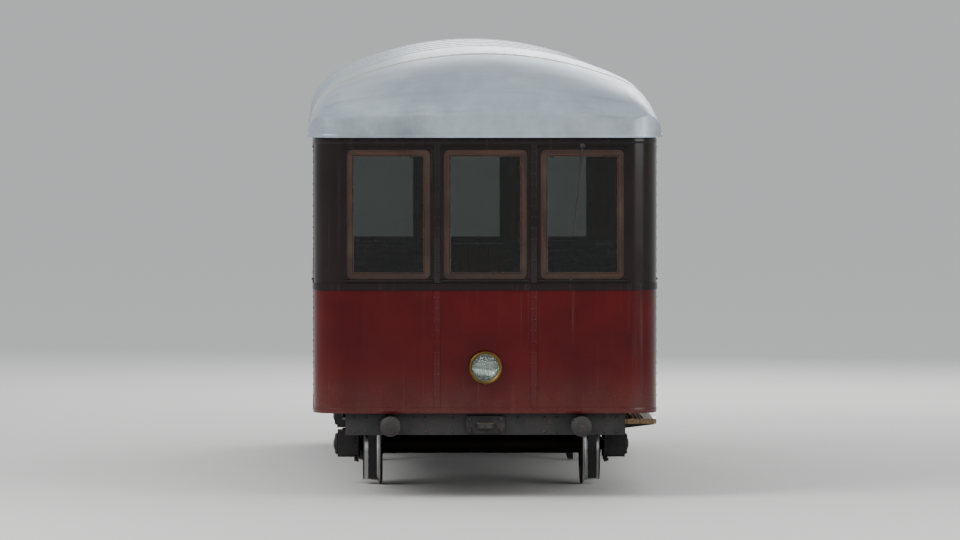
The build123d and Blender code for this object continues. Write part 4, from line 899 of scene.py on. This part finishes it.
for side in signs:
    base, out = (0, side * car["halfLength"], lamp["height"]), (0, side, 0)
    bowls.append(turned(base, out, bowlProfile, 40))
    bulbs.append(turned(base, out, bulbProfile, 20))
    rims.append(turned(base, out, rimProfile, 48, ring=True))
    for way in (Vector((math.sin(math.radians(t)), 0, math.cos(math.radians(t)))) for t in (60, 180, 300)):
        heads.append((Vector((0, side * lamp["screwOut"], lamp["height"])) + way * lamp["rimScrew"], way))
    for x in (i * lamp["ribStep"] for i in range(-7, 8)):
        reach, y = math.sqrt(lamp["lens"] ** 2 - x ** 2), side * lamp["ribOut"]
        lensRibs.append(rod((x, y, lamp["height"] - reach), (x, y, lamp["height"] + reach), 0.0046, 10))
finished("headlamp_lens_ribs", lensRibs, "window_glass", lampGlass, smooth=50)
finished("headlamp_bowls", bowls, "rail_steel", mirror)
finished("headlamp_bulbs", bulbs, "window_glass", opal)
finished("headlamp_rims", rims + sown(boltHead(0.009, 0.005), heads), "rail_steel", brass)

# wiper on the driver's window
wiper = {"tilt": math.atan2(0.0395, 0.397), "bladeHalf": 0.195, "holderHalf": 0.19}
spindle = turned((0.65, -3.503, 2.372), (0, -1, 0),
                 [(-0.004, 0.018), (0.006, 0.018), (0.010, 0.012), (0.018, 0.010), (0.021, 0.007)], 20)
arm = pipe([(0.65, -3.517, 2.372), (0.646, -3.519, 2.33), (0.640, -3.518, 2.27), (0.628, -3.511, 2.15),
            (0.6105, -3.4995, 1.975)], 0.004, 8)
holder = boxed((-0.004, -0.004, -wiper["holderHalf"]), (0.004, 0.004, wiper["holderHalf"]), 0.0015)
blade = boxed((-0.0018, -0.005, -wiper["bladeHalf"]), (0.0018, 0.005, wiper["bladeHalf"]), 0.0008)
moved(holder, (0.6105, -3.4955, 1.975), wiper["tilt"], "Y")
moved(blade, (0.6105, -3.4865, 1.975), wiper["tilt"], "Y")
finished("wiper_arm", [spindle, arm, holder], "frame_paint")
finished("wiper_blade", [blade], "frame_paint", rubber)
print("doors, lamps and wiper made")

# axle boxes: front covers with their bolts, oil caps, keep bars across the horns, rivets in the horn guides
axleBox = {"front": 0.989, "reach": 0.999, "coverHalf": 0.075, "coverTall": 0.070, "guide": 0.857,
           "keepOut": 0.867}
bossProfile = [(0, 0.050), (0.008, 0.050), (0.013, 0.044), (0.016, 0.030), (0.019, 0.028), (0.021, 0.012)]
capProfile = [(0, 0.018), (0.008, 0.018), (0.010, 0.014), (0.016, 0.013)]
guideRivets = [(0.118, 0.215), (0.118, 0.275), (0.118, 0.335), (0.150, 0.245), (0.158, 0.305), (0.190, 0.375),
               (0.235, 0.430), (0.275, 0.485)]
covers, spots, guideSpots = [], [], []
for hand, side in corners:
    y, z, out = side * car["axleY"], car["axleZ"], (hand, 0, 0)
    covers += [
        boxed((hand * axleBox["front"], y - axleBox["coverHalf"], z - axleBox["coverTall"]),
              (hand * axleBox["reach"], y + axleBox["coverHalf"], z + axleBox["coverTall"]), 0.003),
        turned((hand * (axleBox["reach"] - 0.001), y, z), out, bossProfile, 32),
        turned((hand * 0.945, y, z + 0.093), (0, 0, 1), capProfile, 6),
        boxed((hand * axleBox["guide"], y - 0.140, 0.163), (hand * axleBox["keepOut"], y + 0.140, 0.184)),
    ]
    spots += [((hand * axleBox["reach"], y + a * 0.061, z + b * 0.056), out) for a, b in corners]
    spots += [((hand * axleBox["keepOut"], y + a, 0.1735), out) for a in (-0.125, -0.100, 0.100, 0.125)]
    guideSpots += [((hand * axleBox["guide"], y + a * b, height), out)
                   for b, height in guideRivets for a in signs]
finished("axle_box_fittings", covers + sown(boltHead(0.018, 0.009), spots), "frame_paint")
finished("horn_guide_rivets", sown(rivetHead(0.008, 0.005), guideSpots), "frame_paint", smooth=60)

# springs: clips round the leaves, a nut on each buckle, shoe bolts
spring = {"x": 0.896, "half": 0.0385, "clipY": 0.225, "clipTop": 0.448884, "shoeY": 0.430}
clips, spots = [], []
for hand, side in corners:
    middle, x = side * car["axleY"], hand * spring["x"]
    for end in signs:
        y, shoeY = middle + end * spring["clipY"], middle + end * spring["shoeY"]
        clips.append(boxed((x - spring["half"], y - 0.012, spring["clipTop"] - 0.0435),
                           (x + spring["half"], y + 0.012, spring["clipTop"] + 0.0045), 0.003))
        spots.append(((hand * (spring["x"] + spring["half"]), y, spring["clipTop"] - 0.012), (hand, 0, 0)))
        spots += [((hand * 0.935, shoeY + a, 0.498), (hand, 0, 0)) for a in (-0.028, 0.028)]
        spots.append(((hand * 0.939, middle + end * 0.022, 0.405), (hand, 0, 0)))
    spots.append(((x, middle, 0.446), (0, 0, 1)))
finished("spring_clips", clips + sown(boltHead(0.018, 0.010), spots), "frame_paint")

# solebars and headstocks: rivet rows, conduit on the left
spots = []
for hand in signs:
    spots += [((hand * 0.867, i * 0.155, z), (hand, 0, 0)) for i in range(-21, 22) for z in (0.545, 0.622)]
    for x in (0.22, 0.40, 0.48, 0.80, 0.88):
        spots += [((x * a, hand * 3.45, z), (0, hand, 0)) for z in (0.452, 0.548) for a in signs]
finished("frame_rivets", sown(rivetHead(0.009, 0.006), spots), "frame_paint", smooth=60)

conduit = {"x": -0.948, "z": 0.527, "radius": 0.011, "saddleStep": 0.62}
bends = [(-0.80, -3.30, 0.60), (-0.90, -3.30, 0.545)]
bends += [(conduit["x"], y, conduit["z"]) for y in (-3.22, -2.9, -1.0, 1.0, 2.9, 3.22)]
bends += [(-0.90, 3.30, 0.545), (-0.80, 3.30, 0.60)]
dropBends = [(conduit["x"], conduit["z"]), (-0.948, 0.50), (-0.93, 0.475), (-0.88, 0.470), (-0.838, 0.470)]
fittings = [pipe(bends, conduit["radius"]), pipe([(x, -0.33, z) for x, z in dropBends], 0.010)]
for y in (i * conduit["saddleStep"] for i in range(-5, 6)):
    saddle = boxed((-0.9615, y - 0.014, 0.5135), (-0.934, y + 0.014, 0.5405), 0.004)
    edit(saddle, "FACE", lambda c, n: n.x > 0.9)
    drawnOut(0.0005, 0, 0)
    bpy.ops.transform.resize(value=(1, 1, 1.9), center_override=(-0.934, y, 0.527))
    endEdit()
    fittings.append(saddle)
junction = boxed((-0.962, -0.375, 0.512), (-0.934, -0.285, 0.548), 0.004)
fittings.append(panelled(junction, lambda c, n: n.x < -0.9, 0.006, -0.004))
finished("lighting_conduit", fittings, "frame_paint")
print("running gear fittings made")

# wheel brakes: pull rods, hanging lever, adjusting sleeve, shoe cotters
brake = {"x": 0.16, "beam": 1.4767, "rod": 0.013, "shoeX": 0.76, "shoeHalf": 0.0465, "shoeY": 1.515}
axleZ = car["axleZ"]
rigging, spots = [], []
for side in signs:
    z = axleZ + side * 0.04
    rigging += [
        rod((brake["x"], side * (brake["beam"] - 0.03), axleZ), (brake["x"], side * 0.035, z), brake["rod"]),
        turned((brake["x"] - 0.022, side * brake["beam"], axleZ), (1, 0, 0),
               [(0, 0.0225), (0, 0.036), (0.044, 0.036), (0.044, 0.0225)], 24, ring=True),
        rod((brake["x"] - 0.026, side * 0.014, z), (brake["x"] + 0.026, side * 0.014, z), 0.008),
    ]
    for x in (brake["x"] - 0.0165, brake["x"] + 0.0165):
        rigging.append(boxed((x - 0.004, side * 0.005, z - 0.018),
                             (x + 0.004, side * 0.06, z + 0.018), 0.003))
lever = boxed((brake["x"] - 0.010, -0.028, 0.225), (brake["x"] + 0.010, 0.028, 0.575), 0.003)
edit(lever, "FACE", lambda c, n: abs(n.z) > 0.9)
bpy.ops.transform.resize(value=(1, 0.7, 1), center_override=(brake["x"], 0, 0.4))
endEdit()
sleeveProfile = [(0, 0.014), (0.006, 0.021), (0.20, 0.021), (0.206, 0.014)]
rigging += [
    # lever, adjusting sleeve, the lever's hangers and pivot, then rod, crank and bush of the hand brake
    lever,
    turned((brake["x"], 0.62, axleZ + 0.0235), (0, 1, 0), sleeveProfile, 6),
    boxed((0.128, -0.055, 0.500), (0.142, 0.055, 0.565), 0.003),
    boxed((0.178, -0.055, 0.500), (0.192, 0.055, 0.565), 0.003),
    rod((0.118, 0, 0.525), (0.202, 0, 0.525), 0.014),
    rod((0.16, -0.01, 0.478), (-0.20, -2.98, 0.500), 0.011),
    boxed((-0.212, -3.03, 0.470), (-0.188, -2.96, 0.662), 0.003),
    turned((-0.33, -3.16, 0.630), (0, 0, 1), [(0, 0.022), (0.004, 0.030), (0.031, 0.030)], 20),
]
finished("brake_rigging", rigging, "frame_paint")
for hand, side in corners:
    for way in signs:
        x = hand * brake["shoeX"] + way * (brake["shoeHalf"] - 0.0015)
        spots += [((x, side * brake["shoeY"], axleZ + z), (way, 0, 0)) for z in (-0.055, 0.055)]
finished("brake_shoe_keys", sown(boltHead(0.020, 0.012), spots), "cast_iron")

# rail brakes: two springs to each pair of jaws, nuts on the pivots
railBrake = {"y": 0.9, "pivotX": 0.077, "pivotZ": 0.262, "springZ": 0.405, "cheek": 0.0403}
springs, spots = [], []
for hand in signs:
    middle, y = hand * car["rail"], railBrake["y"]
    for jaw in signs:
        start, end = ((middle + jaw * reach, y, railBrake["springZ"]) for reach in (0.025, 0.0855))
        springs.append(coil(start, end, 0.019, 0.004, 6))
    for face in signs:
        spots += [((middle + reach, y + face * railBrake["cheek"], railBrake["pivotZ"]), (0, face, 0))
                  for reach in (-railBrake["pivotX"], 0, railBrake["pivotX"])]
finished("rail_brake_springs", springs, "spring_steel")
finished("rail_brake_nuts", sown(boltHead(0.028, 0.014), spots), "frame_paint")

# ends: buffer rings and bolts, plate bolts on the towing eye and rope socket, guard iron bolts
ends = {"bufferX": 0.64, "bufferZ": 0.5, "face": 3.45, "boltRing": 0.0605, "boltFace": 3.4675}
ringProfile = [(0.134, 0.0455), (0.134, 0.0535), (0.150, 0.0535), (0.153, 0.050), (0.153, 0.0325),
               (0.1475, 0.0325)]
bandProfile = [(0.024, 0.0565), (0.024, 0.0615), (0.036, 0.0615), (0.036, 0.0565)]
rings, spots, plateSpots = [], [], []
for hand, side in corners:
    out, x, z = (0, side, 0), hand * ends["bufferX"], ends["bufferZ"]
    rings.append(turned((x, side * ends["face"], z), out, ringProfile, 36, ring=True))
    for a in (math.radians(60 * i + 30) for i in range(6)):
        across, up = ends["boltRing"] * math.cos(a), ends["boltRing"] * math.sin(a)
        spots.append(((x + across, side * ends["boltFace"], z + up), out))
    spots += [((hand * (car["rail"] + a), side * 2.367, b), out)
              for a in (-0.016, 0.016) for b in (0.585, 0.630)]
    plateSpots += [((hand * 0.105, side * 3.470, z + b), out) for b in (-0.038, 0.038)]
bands = [turned((0, y, 0.5), (0, 1, 0), bandProfile, 36, ring=True) for y in (3.45, 3.47)]
heads = sown(boltHead(0.012, 0.006), spots) + sown(boltHead(0.028, 0.015), plateSpots)
finished("end_fittings", rings + bands + heads, "frame_paint")

# equipment case: two doors with louvres, hinges and catches, and straps that carry it
case = {"face": -0.840, "low": 0.325, "high": 0.500, "half": 0.215, "louvres": 6, "louvreStep": 0.0175}
panels = []
for middle in (-0.245, 0.245):
    face, low = case["face"], case["low"]
    panel = boxed((face - 0.005, middle - case["half"], low),
                  (face + 0.001, middle + case["half"], case["high"]))
    panelled(panel, lambda c, n: n.x < -0.99, 0.018, 0.002)
    louvre = boxed((face - 0.011, middle - 0.150, low + 0.040),
                   (face - 0.002, middle + 0.150, low + 0.052), 0)
    edit(louvre, "EDGE", lambda c, d: c.x < face - 0.010 and c.z > low + 0.051)
    bpy.ops.transform.translate(value=(0.009, 0, 0))
    endEdit()
    modified(softened(louvre, 0.0012), "ARRAY", count=case["louvres"], use_relative_offset=False,
             use_constant_offset=True, constant_offset_displace=(0, 0, case["louvreStep"]))
    catch = boxed((face - 0.013, middle - 0.011, low + 0.004),
                  (face - 0.003, middle + 0.011, low + 0.030), 0.003)
    hinges = [rod((face - 0.006, y - 0.022, 0.501), (face - 0.006, y + 0.022, 0.501), 0.006)
              for y in (middle - 0.14, middle + 0.14)]
    panels += [panel, louvre, catch] + hinges
strapRows = [
    # lowest x and z, highest x and z of each strap
    (-0.843, 0.305, -0.327, 0.3101), (-0.3301, 0.305, -0.325, 0.559), (-0.845, 0.305, -0.8399, 0.505),
]
straps = [boxed((left, y - 0.02, foot), (right, y + 0.02, top), 0.0012)
          for y in (-0.42, 0.42) for left, foot, right, top in strapRows]
finished("equipment_case_fittings", panels + straps, "frame_paint")

# footboards: nosing, tread strips and carriage bolts
boardTop = 0.4715
# lowest x and z, highest x and z, half length and easing of each bar
ironRows = [(1.189, 0.440, 1.194, 0.4745, 0.41, 0.0015), (1.164, 0.471, 1.192, 0.4745, 0.41, 0.001)]
ironRows += [(x - 0.007, 0.471, x + 0.007, 0.475, 0.36, 0.0015) for x in (1.025, 1.065, 1.105)]
irons, spots = [], []
for middle in doorBays:
    irons += [boxed((left, middle - half, foot), (right, middle + half, top), ease)
              for left, foot, right, top, half, ease in ironRows]
    for y in (math.copysign(reach, middle) for reach in (1.58, 2.14)):
        spots += [((x, y, boardTop), (0, 0, 1)) for x in (0.992, 1.150)]
        spots += [((0.9455, y, z), (1, 0, 0)) for z in (0.545, 0.600)]
finished("footboard_irons", irons + sown(rivetHead(0.010, 0.005), spots), "rail_steel")
print("underframe fittings made")

# ceiling lamps along the middle of the ceiling
ceilingLamp = {"places": (-2.1, -0.7, 0.7, 2.1), "top": 2.994, "sides": 32}
baseProfile = [(0, 0.098), (0.010, 0.098), (0.018, 0.090), (0.024, 0.088)]
globeProfile = [(0.020, 0.080), (0.036, 0.085), (0.056, 0.076), (0.072, 0.056), (0.082, 0.030),
                (0.084, 0.012)]
globes, bases = [], []
for y in ceilingLamp["places"]:
    base = (0, y, ceilingLamp["top"])
    bases.append(turned(base, (0, 0, -1), baseProfile, ceilingLamp["sides"]))
    globes.append(turned(base, (0, 0, -1), globeProfile, ceilingLamp["sides"]))
finished("ceiling_lamp_globes", globes, "window_glass", opal, smooth=50)
finished("ceiling_lamp_bases", bases, "rail_steel", brass)

# ledges under the windows inside, shallow at the left where the benches stand close
ledge = {"low": 1.456, "high": 1.474, "half": 0.445, "endHalf": 0.93}
sillBoards = [boxed((-1.101, y - ledge["half"], ledge["low"]),
                    (-1.087, y + ledge["half"], ledge["high"]), 0.003) for y in leftBays]
sillBoards += [boxed((-ledge["endHalf"], side * 3.451, ledge["low"]),
                     (ledge["endHalf"], side * 3.394, ledge["high"]), 0.004) for side in signs]
finished("window_ledges", sillBoards, "varnished_wood", boardTeak)

# matchboards on the walls where no door slides past, and planks on the floor and footboards
board = {"wide": 0.070, "halfGap": 0.0015, "thick": 0.005, "ease": 0.0014, "foot": 0.692, "head": 1.452,
         "doorsTo": 2.36, "doorsFrom": 0.58, "endHalf": 0.93, "sink": 0.0005}
plank = {"wide": 0.090, "low": 0.689, "high": 0.694, "left": -1.093, "right": 1.040, "long": 3.443,
         "short": 3.30, "straight": 0.98, "narrowest": 0.02}
stepEdges = [(0.9705, 0.9885), (0.9915, 1.0785), (1.0815, 1.1685), (1.1715, 1.1890)]
matchboards, floorPlanks = [], []
for i in range(-47, 47):
    low, high = i * board["wide"] + board["halfGap"], (i + 1) * board["wide"] - board["halfGap"]
    away = abs(low + high) / 2
    for hand in signs:
        wall, face = (hand * (car["innerWidth"] + d) for d in (board["sink"], -board["thick"]))
        if hand < 0 or away > board["doorsTo"] or away < board["doorsFrom"]:
            matchboards.append(boxed((wall, low, board["foot"]),
                                     (face, high, board["head"]), board["ease"], 1))
        wall, face = (hand * (car["innerLength"] + d) for d in (board["sink"], -board["thick"]))
        if away < board["endHalf"]:
            matchboards.append(boxed((low, wall, board["foot"]),
                                     (high, face, board["head"]), board["ease"], 1))
for i in range(-12, 12):
    low = max(i * plank["wide"], plank["left"]) + board["halfGap"]
    high = min((i + 1) * plank["wide"], plank["right"]) - board["halfGap"]
    reach = plank["long"] if max(abs(low), abs(high)) < plank["straight"] else plank["short"]
    if high - low > plank["narrowest"]:
        floorPlanks.append(boxed((low, -reach, plank["low"]), (high, reach, plank["high"]), board["ease"], 1))
stepPlanks = [boxed((low, middle - 0.4095, 0.4665), (high, middle + 0.4095, boardTop), board["ease"], 1)
              for middle in doorBays for low, high in stepEdges]
finished("wall_matchboards", matchboards, "body_paint")
finished("floor_planks", floorPlanks, "floor_boards")
finished("footboard_planks", stepPlanks, "floor_boards")

# driver's desk: three dials, controller handle, push buttons, edging. Its top slopes towards the driver.
desk = {"top": 1.45, "topY": -3.39, "fall": 0.09, "deep": 0.25, "dialY": -3.28, "buttonX": 0.60,
        "buttonY": -3.31, "buttonStep": 0.07, "left": 0.054, "right": 0.766}
slope = math.atan2(desk["fall"], desk["deep"])
up = Vector((0, math.sin(slope), math.cos(slope)))
rims, faces, hands, knobs = [], [], [], []
for x, size in ((0.20, 0.062), (0.36, 0.062), (0.49, 0.040)):
    centre = Vector((x, desk["dialY"], desk["top"] - (desk["dialY"] - desk["topY"]) * math.tan(slope)))
    rimProfile = [(-0.001, -0.010), (-0.001, 0), (0.014, 0), (0.018, -0.004), (0.018, -0.010)]
    faceProfile = [(-0.001, -0.009), (0.004, -0.009), (0.005, -0.011)]
    rims.append(turned(centre, up, [(d, size + r) for d, r in rimProfile], 40, ring=True))
    faces.append(turned(centre, up, [(d, size + r) for d, r in faceProfile], 40))
    marks = [(boxed((-0.0008, size * 0.60, 0.0045), (0.0008, size * 0.76, 0.0058), 0), -135 + 27 * i)
             for i in range(11)]
    marks.append((boxed((-0.0012, -size * 0.15, 0.006), (0.0012, size * 0.66, 0.008), 0.0004), 100))
    hands += [placed(moved(mark, (0, 0, 0), math.radians(angle), "Z"), centre, up) for mark, angle in marks]
for i in range(4):
    x = desk["buttonX"] + (i % 2) * desk["buttonStep"]
    y = desk["buttonY"] + (i // 2) * desk["buttonStep"]
    centre = (x, y, desk["top"] - (y - desk["topY"]) * math.tan(slope))
    collar = [(-0.001, 0.014), (-0.001, 0.021), (0.006, 0.020), (0.006, 0.014)]
    rims.append(turned(centre, up, collar, ring=True))
    knobs.append(turned(centre, up, [(0, 0.0135), (0.012, 0.0135), (0.014, 0.011)]))
shaftBase = Vector((0.28, -3.185, 1.376))
shaftTop = shaftBase + up * 0.036
rims.append(turned(shaftBase - up * 0.001, up,
                   [(0, 0.048), (0.010, 0.048), (0.020, 0.030), (0.042, 0.024), (0.046, 0.018)], 32))
rims.append(rod(shaftTop, shaftTop + Vector((0.11, 0.02, 0.03)), 0.008))
knobs.append(turned(shaftTop + Vector((0.105, 0.019, 0.020)), (0, 0, 1),
                    [(0, 0.010), (0.012, 0.017), (0.030, 0.019), (0.046, 0.014), (0.052, 0.006)]))
panel = ringPlate((0, 1, 0), (0, 0, 0), 0.56, 0.46, 0.02, 0.006)
edging = [
    boxed((desk["left"], -3.398, 1.446), (desk["right"], -3.384, 1.458), 0.003),
    boxed((desk["left"], -3.146, 1.352), (desk["right"], -3.132, 1.368), 0.003),
    moved(panel, (0.41, -3.141, 0.96), -math.atan2(0.06, 0.58)),
]
finished("desk_rims", rims, "rail_steel", brass)
finished("desk_dial_faces", faces, "desk_paint", opal)
finished("desk_dial_hands", hands, "desk_paint", rubber)
finished("desk_buttons", knobs, "desk_paint", rubber)
finished("desk_edging", edging, "desk_paint")

# hand brake: grip on the wheel, ratchet plate and pawl under it
handBrake = {"shaft": (-0.33, -3.16), "plateZ": 1.392, "plate": 0.060, "thick": 0.010, "tooth": 0.007,
             "toothAngle": math.radians(10)}
grip = turned((-0.196, -3.026, 1.480), (0, 0, 1),
              [(0, 0.010), (0.008, 0.014), (0.05, 0.017), (0.085, 0.014), (0.092, 0.007)], 20)
plateProfile = [(0, handBrake["plate"]), (handBrake["thick"], handBrake["plate"])]
ratchet = turned((*handBrake["shaft"], handBrake["plateZ"]), (0, 0, 1), plateProfile, 36)
edit(ratchet, "FACE", lambda c, n: abs(n.z) < 0.1
     and round(math.atan2(n.y, n.x) / handBrake["toothAngle"]) % 2 == 0)
bpy.ops.mesh.extrude_region_shrink_fatten(TRANSFORM_OT_shrink_fatten={"value": handBrake["tooth"]})
endEdit()
pawl = boxed((-0.360, -3.094, 1.386), (-0.310, -3.080, 1.404), 0.003)
finished("hand_brake_grip", [grip], "cast_iron", rubber)
finished("hand_brake_ratchet", [ratchet, pawl], "cast_iron", brass)
print("interior made")

# floor, light and camera
stageLook = {"floorSize": 1600.0, "skyStrength": 1.25, "sky": "#eef1f5"}
lights = [
    # name, place, aimed at, width, height, watts
    ("keyLight", (-9, -9, 9), (0, 0, 1.4), 8, 6, 2000),
    ("fillLight", (9, -10, 5), (0, -1, 1.2), 7, 6, 800),
    ("backLight", (3, 12, 8), (0, 0, 1.6), 9, 5, 1500),
]
clearSelection()
bpy.ops.mesh.primitive_plane_add(size=stageLook["floorSize"], location=(0, 0, 0))
studioFloor = bpy.context.object
studioFloor.name = "studio_floor"
studioFloor.data.materials.append(studioPaper())

scene = bpy.context.scene
scene.world = bpy.data.worlds.new("studioSky")
scene.world.use_nodes = True
sky = scene.world.node_tree.nodes["Background"].inputs
sky["Color"].default_value = linearColour(stageLook["sky"])
sky["Strength"].default_value = stageLook["skyStrength"]
for name, place, target, width, height, watts in lights:
    lamp = bpy.data.lights.new(name, "AREA")
    lamp.shape = "RECTANGLE"
    lamp.size, lamp.size_y, lamp.energy = width, height, watts
    holder = bpy.data.objects.new(name, lamp)
    scene.collection.objects.link(holder)
    holder.location = place
    holder.rotation_euler = (Vector(target) - Vector(place)).to_track_quat("-Z", "Y").to_euler()
    holder.visible_camera = False

view = {"azimuth": -1.0, "elevation": 2.2, "distance": 60.0, "aim": (0, -1.4, 1.46), "tall": 3.75}
camera = bpy.data.cameras.new("photoCamera")
cameraHolder = bpy.data.objects.new("photoCamera", camera)
scene.collection.objects.link(cameraHolder)
turn, tilt = math.radians(view["azimuth"]), math.radians(view["elevation"])
away = Vector((math.sin(turn) * math.cos(tilt), -math.cos(turn) * math.cos(tilt), math.sin(tilt)))
cameraHolder.location = Vector(view["aim"]) + away * view["distance"]
cameraHolder.rotation_euler = (-away).to_track_quat("-Z", "Y").to_euler()
camera.sensor_width = 36.0
camera.lens = camera.sensor_width * view["distance"] / (view["tall"] * 960 / 540)
camera.clip_end = 2500.0
scene.camera = cameraHolder
scene.view_settings.view_transform = "AgX"
scene.view_settings.look = "AgX - Punchy"
scene.view_settings.exposure = 0.2
print("camera and lights placed")
